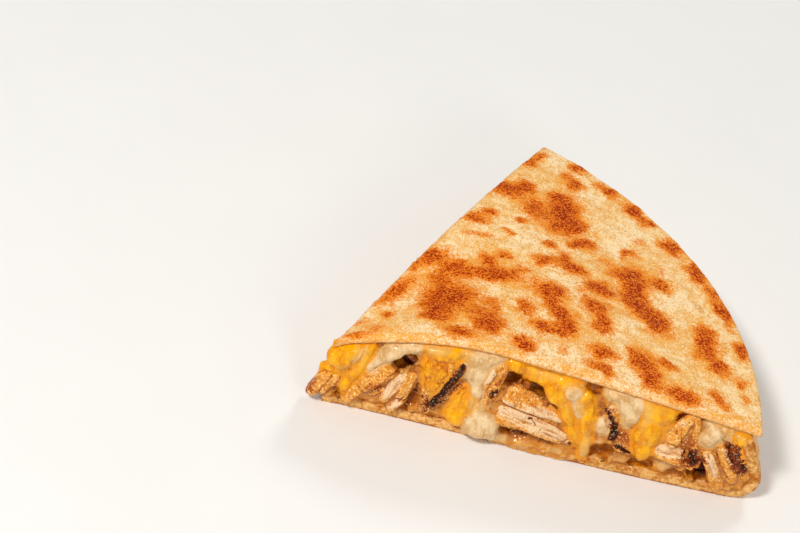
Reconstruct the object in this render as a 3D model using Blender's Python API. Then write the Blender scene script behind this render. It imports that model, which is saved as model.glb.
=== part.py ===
"""A wedge of chicken quesadilla: two tortillas with chicken and two melted cheeses between.

Metres, +Z up. The wedge rests on its bottom tortilla, its tip at -X and its front cut
facing -Y. Shapes are worked out in the wedge's own frame, in millimetres: the tip is at
(0, 0), the front cut runs along +X, a bearing is the angle turned from that cut, in
degrees, and a depth is the distance behind the cut. Everything is moved at the end.
"""

import math
from typing import NamedTuple

import bmesh
import bpy
from mathutils import Matrix, Vector, noise

# Driving dimensions, in millimetres and degrees.
RADIUS = 125.0
WEDGE_ANGLE = 66.0
TOP_SHEET = 2.6
BOTTOM_SHEET = 3.2

# The top surface: its height at the tip, along the two cuts, and its slight wave.
TIP_HEIGHT = 24.3
PEAK_HEIGHT = 35.2
PEAK_RADIUS = 45.0
RISE_POWER = 0.9
FALL_POWER = 1.25
RIM_HEIGHT = 27.8
BACK_CORNER_HEIGHT = 26.5
BACK_CUT_RISE = 4.0
WAVE_HEIGHT = 0.5
WAVE_PITCH = 0.11
EDGE_ROUNDING = 0.9
EDGE_SHARPNESS = 20

# The bottom tortilla: its rim curls up round an arc, leans in, and stands out in one ruffle.
CURL_START = 122.0
CURL_RADIUS = 6.2
CURL_TURN = 114.0
CURL_LENGTH = 14.0
FLAT_SHARE = 0.45
RUFFLE_REACH = 6.0
RUFFLE_BEARING = 36.0
RUFFLE_SPREAD = 9.0
FRONT_BOW = 1.8
BOW_START = 20.0

# The packed filling, behind the loose pieces at the cuts.
GAP = 0.35
LOW_RECESS = 1.6
HIGH_RECESS = 7.0
RECESS_POWER = 1.2
CORE_REACH = 118.7
CORE_BELLY = 5.4
BELLY_POWER = 0.45
CORE_BUMP = 0.8
CORE_BUMP_PITCH = 0.16
CORE_BUMP_RISE = 20.0

# The loose pieces: how round their ends are, and how unevenly thick they run.
PIECE_SIDES = 8
END_ROUNDING = 0.22
END_FULLNESS = 0.2
UNEVENNESS = 0.14
UNEVEN_PITCH = 0.23

# The wedge's own frame starts at the tip. The part's origin is under the middle of its box.
MIDDLE = Vector((62.2, 56.5, 0.0))
MM_TO_M = 0.001

COLOURS = {
    "tortilla": (0.86, 0.62, 0.34),
    "filling": (0.55, 0.25, 0.07),
    "chicken": (0.78, 0.47, 0.22),
    "cheddar": (0.92, 0.47, 0.02),
    "white_cheese": (0.88, 0.70, 0.46),
}
ROUGHNESS = {
    "tortilla": 0.75,
    "filling": 0.45,
    "chicken": 0.5,
    "cheddar": 0.3,
    "white_cheese": 0.3,
}


class Piece(NamedTuple):
    """A strip, chunk, pull or drip at a cut, its spine given as (distance along, depth, height)."""

    name: str
    spine: tuple
    widths: tuple
    thickness: float
    squareness: float = 0.0
    meets_bottom: bool = False

    @property
    def kind(self):
        """The food that the piece is made of, which its name holds."""
        return next(kind for kind in COLOURS if kind in self.name)


# Nearest pieces first: each one is trimmed to clear those before it.
FRONT_PIECES = (
    Piece("white_cheese_drip", ((45, -0.6, 10.4), (46.2, -1.8, 6.5), (47.4, -3, 3.2)),
          (7, 11, 10), 6.5, meets_bottom=True),
    Piece("cheddar_tip", ((0.4, 0.8, 13.8), (1.4, 1.4, 17.6), (4.6, 2.4, 20.8)), (8, 10.5, 10), 7),
    Piece("chicken_tip_strip", ((-3, -0.6, 5), (-0.6, 0.2, 8), (2.4, 1.4, 11)), (7, 8, 7.4), 5.4),
    Piece("cheddar_tip_strand", ((6.6, -1, 9.5), (8.2, 0, 16), (9.8, 1.2, 21.6)), (4, 4.8, 5), 3.6),
    Piece("chicken_strip_1", ((6.2, -0.4, 5.4), (12.6, 0.8, 11.6), (19.2, 2.6, 18)), (6, 7.2, 6.8), 6),
    Piece("white_cheese_strand", ((11, -0.6, 17), (15, 0.4, 22.3), (21, 1.4, 26), (28, 2.2, 28)),
          (4.2, 6, 5, 4), 3.8),
    Piece("chicken_strip_2", ((16.9, -0.6, 5.2), (19, 0.4, 10.8), (22, 2, 16)), (4.6, 5.2, 5), 5.6),
    Piece("chicken_strip_3", ((19.8, -0.2, 4.8), (22.8, 1, 9.8), (25.2, 2.4, 15.4)), (4.6, 5.6, 5.2), 5.6),
    Piece("cheddar_fold_1", ((29.4, -0.8, 17), (29.6, -0.2, 22.6), (30.4, 1, 27.6)), (7, 9, 11), 3.4),
    Piece("chicken_chunk_1", ((29.8, -0.4, 6), (31.8, 1, 14.4), (35.2, 2.4, 24.6)), (5, 10, 8.6), 6.6, 0.3),
    Piece("white_cheese_pull", ((42.2, -0.4, 16), (41.6, 0.4, 23.2), (39.8, 1.4, 29)), (4.4, 7.8, 7), 4.4),
    Piece("cheddar_drip_1", ((38.6, -0.8, 5), (39.8, 0, 9.6), (41.6, 0.8, 14)), (7, 8.4, 6), 4.8),
    Piece("chicken_strip_4", ((45.4, 0, 13.4), (47.4, 1, 20.6), (49, 2, 28)), (4.6, 5.8, 5), 5.2),
    Piece("cheddar_fold_2", ((74.2, -1.6, 7), (71.8, -1, 13.4), (67.6, 0, 19),
          (63.6, 1.6, 23.8), (61.6, 3, 27.4)), (3.6, 4.4, 7, 12, 14), 3.4),
    Piece("chicken_chunk_2", ((47.8, 1.6, 10.8), (54, 1.2, 11.8), (64.6, 1.2, 10.6), (73.4, 1.4, 7.2)),
          (10.5, 14.5, 13, 6), 8, 0.5),
    Piece("white_cheese_strip", ((73.6, 0, 17.6), (71.6, 0.8, 21.6), (68.8, 1.8, 25.6)), (4, 6, 5), 3.6),
    Piece("cheddar_drip_2", ((76.4, -1.2, 5), (76.6, -0.6, 11.6), (76.4, 0.4, 18.6), (74.4, 1.8, 24.6)),
          (4.6, 5.4, 7.4, 7), 4.2),
    Piece("white_cheese_bead", ((80.6, -0.8, 13.4), (80.8, -0.4, 15.8), (80.4, 0.2, 18)),
          (5.6, 6.8, 6), 5.6),
    Piece("chicken_chunk_3", ((89.4, -0.2, 8.6), (85.6, 0.8, 14.6), (80, 2.6, 22)),
          (6.4, 10.4, 8.6), 6.8, 0.2),
    Piece("cheddar_drip_3", ((91.6, -1, 6.4), (93.9, -0.6, 12.6), (94.8, 0.2, 19.4), (95.8, 1.6, 25)),
          (5.6, 8.2, 9.8, 9.4), 4.6),
    Piece("white_cheese_sheet", ((88.2, -0.2, 18.4), (87.7, 0.6, 23.4), (86.8, 1.6, 27.6)),
          (5.4, 9.6, 15.5), 4),
    Piece("chicken_strip_5", ((98.4, -0.2, 16.4), (101.8, 0.8, 20.4), (105, 1.8, 25.2)), (6, 7, 4.4), 4.8),
    Piece("chicken_strip_6", ((106.4, 0.2, 16), (106.8, 1, 20.8), (106.6, 2, 24.8)), (5.2, 4.6, 4.2), 4.8),
    Piece("chicken_chunk_4", ((97, 1, 11), (103, 0.8, 11.4), (109.6, 0.6, 10.8)), (7, 7.8, 8), 7, 0.4),
    Piece("white_cheese_blob", ((111.2, 0.2, 18.4), (111.4, 1, 21), (111, 2.2, 23.4)), (6.2, 8, 8), 5.8),
    Piece("chicken_strip_7", ((119.2, -1, 5), (114.8, 0, 9.8), (110.4, 1.4, 15.2)), (5, 6.4, 6), 5.6),
    Piece("chicken_strip_8", ((122, 0.4, 6.4), (118.6, 1.4, 11.6), (114, 2.8, 17.6)), (5, 6.4, 5.8), 5.6),
    Piece("chicken_chunk_5", ((123.6, 2.6, 10), (121, 3, 14), (116.6, 3.8, 21)),
          (6.4, 8.4, 7.4), 5.8, meets_bottom=True),
    Piece("cheddar_rim", ((124, 2.8, 14), (122.4, 3.2, 18), (118.6, 3.8, 22.6)),
          (4.6, 6, 6), 4.8, meets_bottom=True),
    Piece("chicken_strip_9", ((35.8, 1.6, 9.4), (37, 2.6, 16.4), (38.4, 3.4, 23.4)), (5, 5.6, 5), 5),
    Piece("cheddar_fold_3", ((50.6, 3.4, 23.6), (54, 3.6, 24.6), (58, 3.8, 24)), (6.4, 8, 7), 4.6),
)

# The pieces at the back cut, nearest first, with distances taken along that cut.
BACK_PIECES = (
    Piece("back_cheddar_1", ((25, -0.8, 7), (23.5, 0, 14), (21, 1.6, 24)), (5, 6.4, 11), 4.4),
    Piece("back_white_cheese_1", ((44, -0.6, 14), (45.5, 0.2, 20), (47, 1.6, 27)), (4.6, 8, 15), 4),
    Piece("back_cheddar_2", ((74, -1, 5.6), (72, -0.2, 13), (69, 1.4, 26)), (6, 7, 13), 4.6),
    Piece("back_white_cheese_2", ((90, -0.8, 9), (90.6, 0, 15), (93, 1.6, 26)), (6, 6, 10), 4.2),
    Piece("back_cheddar_3", ((108, -0.4, 16), (107, 0.4, 20), (106, 1.6, 25)), (5, 8, 13), 4),
    Piece("back_chicken_1", ((12.5, 0, 6), (14.5, 1, 12), (17, 2, 18)), (6, 7.4, 6), 5.6),
    Piece("back_chicken_2", ((21, -0.4, 5.6), (27, 0.6, 10), (34, 2, 15)), (7, 9, 8), 6.4, 0.3),
    Piece("back_chicken_3", ((30, 1.4, 22), (34, 1.8, 20), (39, 1.6, 15)), (7, 8, 6), 6),
    Piece("back_chicken_4", ((38, -0.2, 8), (46, 0.6, 9.4), (57, 1, 10)), (8, 11, 8), 7.4, 0.45),
    Piece("back_chicken_5", ((53, 1, 17), (57, 1.6, 20), (62, 2, 24)), (6, 7, 6), 5.6),
    Piece("back_chicken_6", ((66, -0.6, 5.4), (64, 0.6, 12), (60.5, 1.6, 17)), (6, 7, 5), 6),
    Piece("back_chicken_7", ((78, 0.6, 9), (83, 1, 11), (88, 1, 9.6)), (9, 12, 8), 7.4, 0.45),
    Piece("back_chicken_8", ((80, 1.6, 21), (85, 2, 20), (89, 2, 18)), (7, 8, 6), 6),
    Piece("back_chicken_9", ((96, -0.6, 5.2), (99, 0.6, 12), (101, 2, 19)), (6, 8, 6), 6),
    Piece("back_chicken_10", ((105, -0.4, 5.4), (109, 0.8, 11), (114, 1.8, 16)), (6.4, 8, 6), 6),
    Piece("back_chicken_11", ((119, 0.6, 8), (117, 1.4, 14), (115, 2.4, 21)), (6, 7.4, 6), 5.6),
)


def front_height(radius):
    """Height of the top surface along the front cut, which rises from the tip and falls to the rim."""
    if radius < PEAK_RADIUS:
        rise = math.sin(math.pi / 2 * radius / PEAK_RADIUS) ** RISE_POWER
        return TIP_HEIGHT + (PEAK_HEIGHT - TIP_HEIGHT) * rise
    fall = ((radius - PEAK_RADIUS) / (RADIUS - PEAK_RADIUS)) ** FALL_POWER
    return PEAK_HEIGHT - (PEAK_HEIGHT - RIM_HEIGHT) * fall


def back_height(radius):
    """Height of the top surface along the back cut."""
    along = radius / RADIUS
    slope = (BACK_CORNER_HEIGHT - TIP_HEIGHT) * along
    return TIP_HEIGHT + slope + BACK_CUT_RISE * math.sin(math.pi * along)


def top_height(radius, bearing):
    """Height of the top surface, between the two cuts' profiles, with a slight wave."""
    side = min(max(bearing / WEDGE_ANGLE, 0.0), 1.0)
    blend = side * side * (3 - 2 * side)
    wave = WAVE_HEIGHT * math.sin(WAVE_PITCH * radius) * math.sin(math.pi * side)
    return front_height(radius) * (1 - blend) + back_height(radius) * blend + wave


def ceiling(point):
    """Height of the top tortilla's underside over a point of the wedge."""
    radius = min(math.hypot(point.x, point.y), RADIUS)
    return top_height(radius, math.degrees(math.atan2(point.y, point.x))) - TOP_SHEET


def recess(share):
    """How far behind a cut the packed filling starts, at a share of the height between the sheets."""
    return LOW_RECESS + (HIGH_RECESS - LOW_RECESS) * share**RECESS_POWER


def polar(radius, bearing, height):
    """A point of the wedge from its distance to the tip, its bearing and its height."""
    turn = math.radians(bearing)
    return Vector((radius * math.cos(turn), radius * math.sin(turn), height))


def face_out(body):
    """Turns all the faces of a closed bmesh outward."""
    bmesh.ops.recalc_face_normals(body, faces=body.faces)
    if body.calc_volume(signed=True) < 0:
        bmesh.ops.reverse_faces(body, faces=body.faces)


def wedge_block(columns, rows, turns):
    """A block of unit radius and height, spun through the wedge's angle, as a bmesh.

    columns run from tip to rim, rows from bottom to top, and turns from cut to cut.
    """
    block = bmesh.new()
    bmesh.ops.create_grid(block, x_segments=columns, y_segments=rows, size=0.5)
    bmesh.ops.translate(block, verts=block.verts, vec=(0.5, 0.5, 0))
    upright = Matrix.Rotation(math.pi / 2, 3, "X")
    bmesh.ops.rotate(block, verts=block.verts, matrix=upright)
    bmesh.ops.spin(
        block,
        geom=block.verts[:] + block.edges[:] + block.faces[:],
        cent=(0, 0, 0),
        axis=(0, 0, 1),
        angle=math.radians(WEDGE_ANGLE),
        steps=turns,
    )
    return block


def shape_block(block, place):
    """Moves each point of a wedge block to place(along, bearing, height)."""
    for point in block.verts:
        along = math.hypot(point.co.x, point.co.y)
        bearing = math.degrees(math.atan2(point.co.y, point.co.x)) if along > 1e-6 else 0.0
        point.co = place(along, min(max(bearing, 0.0), WEDGE_ANGLE), point.co.z)
    bmesh.ops.remove_doubles(block, verts=block.verts, dist=1e-4)
    face_out(block)


def top_place(along, bearing, height):
    """A point of the top tortilla, whose outer edge is rounded."""
    rounding = EDGE_ROUNDING * (2 * height - 1) ** 2 * along**EDGE_SHARPNESS
    radius = RADIUS * along - rounding
    return polar(radius, bearing, top_height(radius, bearing) - TOP_SHEET * (1 - height))


def bottom_middle(length):
    """The bottom tortilla's middle line at a length from the tip: (radius, height) and its slope.

    It runs flat, curls up round an arc, and leans in towards the filling.
    """
    if length < CURL_START:
        return length, BOTTOM_SHEET / 2, 0.0
    turned = min((length - CURL_START) / CURL_RADIUS, math.radians(CURL_TURN))
    radius = CURL_START + CURL_RADIUS * math.sin(turned)
    height = BOTTOM_SHEET / 2 + CURL_RADIUS * (1 - math.cos(turned))
    straight = length - CURL_START - CURL_RADIUS * turned
    return radius + straight * math.cos(turned), height + straight * math.sin(turned), turned


def ruffle(bearing):
    """How far the rim stands out at its top, as a share of its reach, at a bearing."""
    return math.exp(-(((bearing - RUFFLE_BEARING) / RUFFLE_SPREAD) ** 2))


def bottom_place(along, bearing, height, grow=0.0):
    """A point of the bottom tortilla, with its rim curled up at the arc."""
    curl = CURL_RADIUS * math.radians(CURL_TURN) + CURL_LENGTH
    if along < FLAT_SHARE:
        length = CURL_START * along / FLAT_SHARE
    else:
        length = CURL_START + curl * (along - FLAT_SHARE) / (1 - FLAT_SHARE)
    radius, middle, slope = bottom_middle(length)
    thick = (BOTTOM_SHEET + 2 * grow) * (height - 0.5)
    radius -= thick * math.sin(slope)
    radius += RUFFLE_REACH * ruffle(bearing) * min(middle / TIP_HEIGHT, 1.0) ** 2
    point = polar(radius, bearing, middle + thick * math.cos(slope))
    bow = FRONT_BOW * max(0.0, math.sin(math.pi * (radius - BOW_START) / (RADIUS - BOW_START)))
    point.y -= (bow * min(radius / RADIUS, 1.0) + grow) * (1 - bearing / WEDGE_ANGLE)
    return point


def core_place(along, bearing, height):
    """A point of the packed filling, which fills out into the curl of the rim.

    Its cut faces are lumpy, and lie behind the loose pieces.
    """
    apex = polar(recess(height) / math.sin(math.radians(WEDGE_ANGLE / 2)), WEDGE_ANGLE / 2, 0.0)
    corner = math.degrees(math.asin(recess(height) / CORE_REACH))
    side = bearing / WEDGE_ANGLE
    reach = CORE_REACH + CORE_BELLY * math.sin(math.pi * height**BELLY_POWER)
    rim = polar(reach, corner + (WEDGE_ANGLE - 2 * corner) * side, 0.0)
    point = apex.lerp(rim, along)
    top = ceiling(point) - GAP
    bottom = BOTTOM_SHEET + GAP
    if side < 0.001 or side > 0.999:
        lump = 1 + noise.noise(Vector((point.x, point.y, CORE_BUMP_RISE * height)) * CORE_BUMP_PITCH)
        point += polar(CORE_BUMP * lump, WEDGE_ANGLE / 2, 0.0)
    point.z = bottom + (top - bottom) * height
    return point


def spine_point(spine, along):
    """A point on the smooth curve through a spine's points, along from 0 to 1."""
    last = len(spine) - 1
    place = min(along * last, last - 1e-6)
    index = int(place)
    part = place - index
    points = [Vector(spine[min(max(index + step, 0), last)]) for step in (-1, 0, 1, 2)]
    before, start, end, after = points
    return 0.5 * (
        2 * start
        + (end - before) * part
        + (2 * before - 5 * start + 4 * end - after) * part**2
        + (3 * start - before - 3 * end + after) * part**3
    )


def level(values, along):
    """A value read between a list's values, along from 0 to 1."""
    place = min(along * (len(values) - 1), len(values) - 1 - 1e-6)
    index = int(place)
    return values[index] + (values[index + 1] - values[index]) * (place - index)


def piece_body(piece, grow=0.0):
    """A sphere drawn out along the piece's spine and squared off, as a bmesh."""
    body = bmesh.new()
    bmesh.ops.create_uvsphere(body, u_segments=PIECE_SIDES, v_segments=PIECE_SIDES, radius=1)
    power = 1 - piece.squareness
    for point in body.verts:
        height = min(max(point.co.z, -1.0), 1.0)
        along = math.acos(-height) / math.pi
        fullness = max(1 - height * height, 0.0) ** END_FULLNESS
        around = math.atan2(point.co.y, point.co.x)
        across = math.copysign(abs(math.cos(around)) ** power, math.cos(around))
        deep = math.copysign(abs(math.sin(around)) ** power, math.sin(around))
        middle = spine_point(piece.spine, along)
        ahead = spine_point(piece.spine, min(along + 0.02, 1.0))
        ahead -= spine_point(piece.spine, max(along - 0.02, 0.0))
        ahead.normalize()
        sideways = Vector((ahead.z, 0.0, -ahead.x)).normalized()
        inward = ahead.cross(sideways)
        uneven = 1 + UNEVENNESS * noise.noise(middle * UNEVEN_PITCH + Vector((across, deep, 0)))
        if abs(height) > 0.999:
            across = deep = 0.0
        width = level(piece.widths, along)
        place = middle + ahead * (grow * height + END_ROUNDING * width * height**3)
        place += sideways * across * fullness * (width * uneven / 2 + grow)
        place += inward * deep * fullness * (piece.thickness * uneven / 2 + grow)
        point.co = place
    return body


def on_cut(point, behind):
    """A point given from the front cut, or its mirror at the back cut."""
    if not behind:
        return point.copy()
    bearing = WEDGE_ANGLE - math.degrees(math.atan2(point.y, point.x))
    return polar(math.hypot(point.x, point.y), bearing, point.z)


def press(body, piece, behind, grow=0.0):
    """Squeezes a piece between the two tortillas and against the packed filling behind it."""
    floor = BOTTOM_SHEET + GAP
    lowest = (GAP if piece.meets_bottom else floor) - grow
    for point in body.verts:
        highest = ceiling(on_cut(point.co, behind)) - GAP
        height = min(max(point.co.z, lowest), highest + grow)
        share = min(max((height - floor) / (highest - floor), 0.0), 1.0)
        depth = min(point.co.y, recess(share) - GAP + grow)
        point.co = on_cut(Vector((point.co.x, depth, height)), behind)
    face_out(body)


def new_object(name, body, kind=None):
    """An object made from a bmesh, moved to the part's frame in metres, with its own material."""
    for point in body.verts:
        point.co = (point.co - MIDDLE) * MM_TO_M
    mesh = bpy.data.meshes.new(name)
    body.to_mesh(mesh)
    body.free()
    made = bpy.data.objects.new(name, mesh)
    bpy.context.scene.collection.objects.link(made)
    if kind is None:
        made.hide_render = True
        made.display_type = "WIRE"
        return made
    material = bpy.data.materials.new(name)
    material.use_nodes = True
    shader = material.node_tree.nodes["Principled BSDF"]
    shader.inputs["Base Color"].default_value = (*COLOURS[kind], 1)
    shader.inputs["Roughness"].default_value = ROUGHNESS[kind]
    shader.inputs["Metallic"].default_value = 0.0
    mesh.materials.append(material)
    mesh.shade_smooth()
    return made


def box_of(item):
    """The lowest and highest corner of an object's mesh."""
    points = [point.co for point in item.data.vertices]
    low = [min(point[axis] for point in points) for axis in range(3)]
    high = [max(point[axis] for point in points) for axis in range(3)]
    return low, high


def boxes_meet(first, second):
    """Whether two objects' boxes touch."""
    low_1, high_1 = box_of(first)
    low_2, high_2 = box_of(second)
    return all(low_1[axis] <= high_2[axis] and low_2[axis] <= high_1[axis] for axis in range(3))


def keep_largest(mesh):
    """Keeps only the bulkiest of a mesh's separate bodies, with its faces outward."""
    body = bmesh.new()
    body.from_mesh(mesh)
    bmesh.ops.remove_doubles(body, verts=body.verts, dist=1e-7)
    waiting = set(body.verts)
    islands = []
    while waiting:
        front = [waiting.pop()]
        island = list(front)
        while front:
            for edge in front.pop().link_edges:
                for point in edge.verts:
                    if point in waiting:
                        waiting.discard(point)
                        island.append(point)
                        front.append(point)
        islands.append(island)
    islands.sort(key=spread)
    for island in islands[:-1]:
        bmesh.ops.delete(body, geom=island, context="VERTS")
    face_out(body)
    body.to_mesh(mesh)
    body.free()


def spread(points):
    """The volume of the box that some bmesh points fill."""
    volume = 1.0
    for axis in range(3):
        places = [point.co[axis] for point in points]
        volume *= max(places) - min(places)
    return volume


def trim(made, cutters):
    """Cuts an object clear of the grown pieces before it, and keeps what is left in one body."""
    for cutter in cutters:
        if not boxes_meet(made, cutter):
            continue
        cut = made.modifiers.new(cutter.name, "BOOLEAN")
        cut.operation = "DIFFERENCE"
        cut.object = cutter
    if not made.modifiers:
        return
    graph = bpy.context.evaluated_depsgraph_get()
    mesh = bpy.data.meshes.new_from_object(made.evaluated_get(graph))
    made.modifiers.clear()
    keep_largest(mesh)
    mesh.shade_smooth()
    made.data = mesh


def build_pieces():
    """Builds every loose piece, front cut first, trimming each to clear those before it."""
    edge = wedge_block(18, 1, 14)
    shape_block(edge, lambda along, bearing, height: bottom_place(along, bearing, height, GAP))
    bottom_cutter = new_object("bottom_cutter", edge)
    cutters = []
    placed = [(piece, False) for piece in FRONT_PIECES]
    placed += [(piece, True) for piece in BACK_PIECES]
    for piece, behind in placed:
        body = piece_body(piece)
        press(body, piece, behind)
        made = new_object(piece.name, body, piece.kind)
        trim(made, cutters + [bottom_cutter] if piece.meets_bottom else cutters)
        grown = piece_body(piece, GAP)
        press(grown, piece, behind, GAP)
        cutters.append(new_object(f"{piece.name}_cutter", grown))
    for cutter in [*cutters, bottom_cutter]:
        bpy.data.objects.remove(cutter)


def main():
    """Builds the whole wedge."""
    for old in list(bpy.data.objects):
        bpy.data.objects.remove(old)

    top = wedge_block(16, 2, 12)
    shape_block(top, top_place)
    new_object("tortilla_top", top, "tortilla")

    bottom = wedge_block(18, 1, 14)
    shape_block(bottom, bottom_place)
    new_object("tortilla_bottom", bottom, "tortilla")

    core = wedge_block(14, 4, 8)
    shape_block(core, core_place)
    new_object("filling", core, "filling")

    build_pieces()


main()
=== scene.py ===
"""The looks of a wedge of chicken quesadilla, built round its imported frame.

Shapes are worked out in the wedge's own frame, in millimetres: the tip is at (0, 0), the
front cut runs along +X, a bearing is the angle turned from that cut in degrees, and a
depth is the distance behind the cut. A finished piece is moved to the frame in metres.
"""

import logging
import math
from dataclasses import dataclass
from enum import Enum
from typing import Callable, NamedTuple

import bmesh
import bpy
import numpy as np
from mathutils import Matrix, Vector, noise
from mathutils.bvhtree import BVHTree


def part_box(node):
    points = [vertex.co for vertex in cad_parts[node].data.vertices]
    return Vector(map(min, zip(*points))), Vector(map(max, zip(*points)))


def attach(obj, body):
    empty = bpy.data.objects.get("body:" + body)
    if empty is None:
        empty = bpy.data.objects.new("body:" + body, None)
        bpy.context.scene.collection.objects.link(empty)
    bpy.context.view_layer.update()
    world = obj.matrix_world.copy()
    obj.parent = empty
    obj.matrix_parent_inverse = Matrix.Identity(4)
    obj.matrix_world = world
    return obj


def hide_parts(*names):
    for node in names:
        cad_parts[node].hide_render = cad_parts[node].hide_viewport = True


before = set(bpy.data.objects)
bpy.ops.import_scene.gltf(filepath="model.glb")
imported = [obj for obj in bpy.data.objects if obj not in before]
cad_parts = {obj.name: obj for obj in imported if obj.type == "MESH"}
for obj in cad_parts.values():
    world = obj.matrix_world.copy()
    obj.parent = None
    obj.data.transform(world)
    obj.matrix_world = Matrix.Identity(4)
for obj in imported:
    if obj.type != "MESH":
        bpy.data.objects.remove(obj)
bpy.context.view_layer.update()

log = logging.getLogger("quesadilla")

MM = 0.001
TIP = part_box("tortilla_top")[0]
SIGHT_SLOPE = 0.9
MERGE_DISTANCE = 0.005
EDGE_SHARE = 1e-4
Colour = tuple[float, float, float]
Level = bpy.types.NodeSocket | float
Paint = bpy.types.NodeSocket | Colour


class Food(Enum):
    """What a piece is made of: the value is the word that its CAD nodes' names hold."""

    TORTILLA = "tortilla"
    FILLING = "filling"
    CHICKEN = "chicken"
    CHEDDAR = "cheddar"
    WHITE_CHEESE = "white_cheese"


class Side(Enum):
    """The two straight cuts: the value is the cut's bearing as a share of the wedge's angle."""

    FRONT = 0.0
    BACK = 1.0


class Patch(NamedTuple):
    """An oval mark on a surface: its middle, half length, half width, strength and turn in degrees."""

    x: float
    y: float
    length: float
    width: float
    strength: float = 1.0
    turn: float = 0.0


def listed(kind: type, table: tuple) -> tuple:
    """A table's bare rows as patches or lays."""
    return tuple(kind(*row) for row in table)


def tone(red: int, green: int, blue: int) -> Colour:
    """A screen colour, 0 to 255, as the linear colour that a shader takes."""
    return tuple((part / 255 / 12.92) if part < 10 else ((part / 255 + 0.055) / 1.055) ** 2.4
                 for part in (red, green, blue))


def ease(low: float, high: float, values: np.ndarray) -> np.ndarray:
    """Rises smoothly from 0 at low to 1 at high."""
    share = np.clip((values - low) / (high - low), 0.0, 1.0)
    return share * share * (3 - 2 * share)


def ripple(points: np.ndarray, pitch: float, octaves: int = 1, seed: float = 0.0) -> np.ndarray:
    """Smooth noise from about -1 to 1 at each point.

    Args:
        points: an array of points, in millimetres.
        pitch: how far apart the noise's lumps are, in millimetres.
        octaves: how many finer layers are added up.
        seed: a shift that gives another pattern.

    Returns:
        One value for each point.
    """
    places = (points / pitch + seed * 17.31).tolist()
    if octaves == 1:
        return np.array([noise.noise(Vector(place)) for place in places])
    return np.array([noise.fractal(Vector(place), 0.9, 2.1, octaves) for place in places])


def granules(points: np.ndarray, pitch: float, seed: float = 0.0) -> np.ndarray:
    """How near each point is to the middle of a granule, 1 at the middle to 0 in the crevices."""
    places = (points / pitch + seed * 9.17).tolist()
    return np.array([1 - min(1.0, 1.25 * noise.voronoi(Vector(place))[0][0]) for place in places])


def wander(points: np.ndarray, pitch: float, amount: float, seed: float = 0.0) -> np.ndarray:
    """A shift of each point in a smooth random direction, in millimetres."""
    return np.stack([ripple(points, pitch, 2, seed + axis) for axis in range(3)], axis=1) * amount


def painted(flat: np.ndarray, patches: tuple[Patch, ...], warp: np.ndarray | float = 0.0,
            soft: float = 1.0) -> np.ndarray:
    """How strongly a set of patches marks each place, 0 to about 1.

    Args:
        flat: places on the surface, as (n, 2).
        patches: the marks.
        warp: a shift of each place, as (n, 2), that roughens the marks' edges.
        soft: how far the marks spread, 1 for their own size.

    Returns:
        The marks' strength at each place, overlapping marks added up softly.
    """
    clear = np.ones(len(flat))
    places = flat + warp
    for patch in patches:
        turn = math.radians(patch.turn)
        aside = places - (patch.x, patch.y)
        along = (aside[:, 0] * math.cos(turn) + aside[:, 1] * math.sin(turn)) / patch.length
        across = (aside[:, 1] * math.cos(turn) - aside[:, 0] * math.sin(turn)) / patch.width
        reach = (along**2 + across**2) / soft**2
        clear *= 1 - np.clip(patch.strength, 0, 1) * np.exp(-0.7 * reach**1.5)
    return 1 - clear


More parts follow.
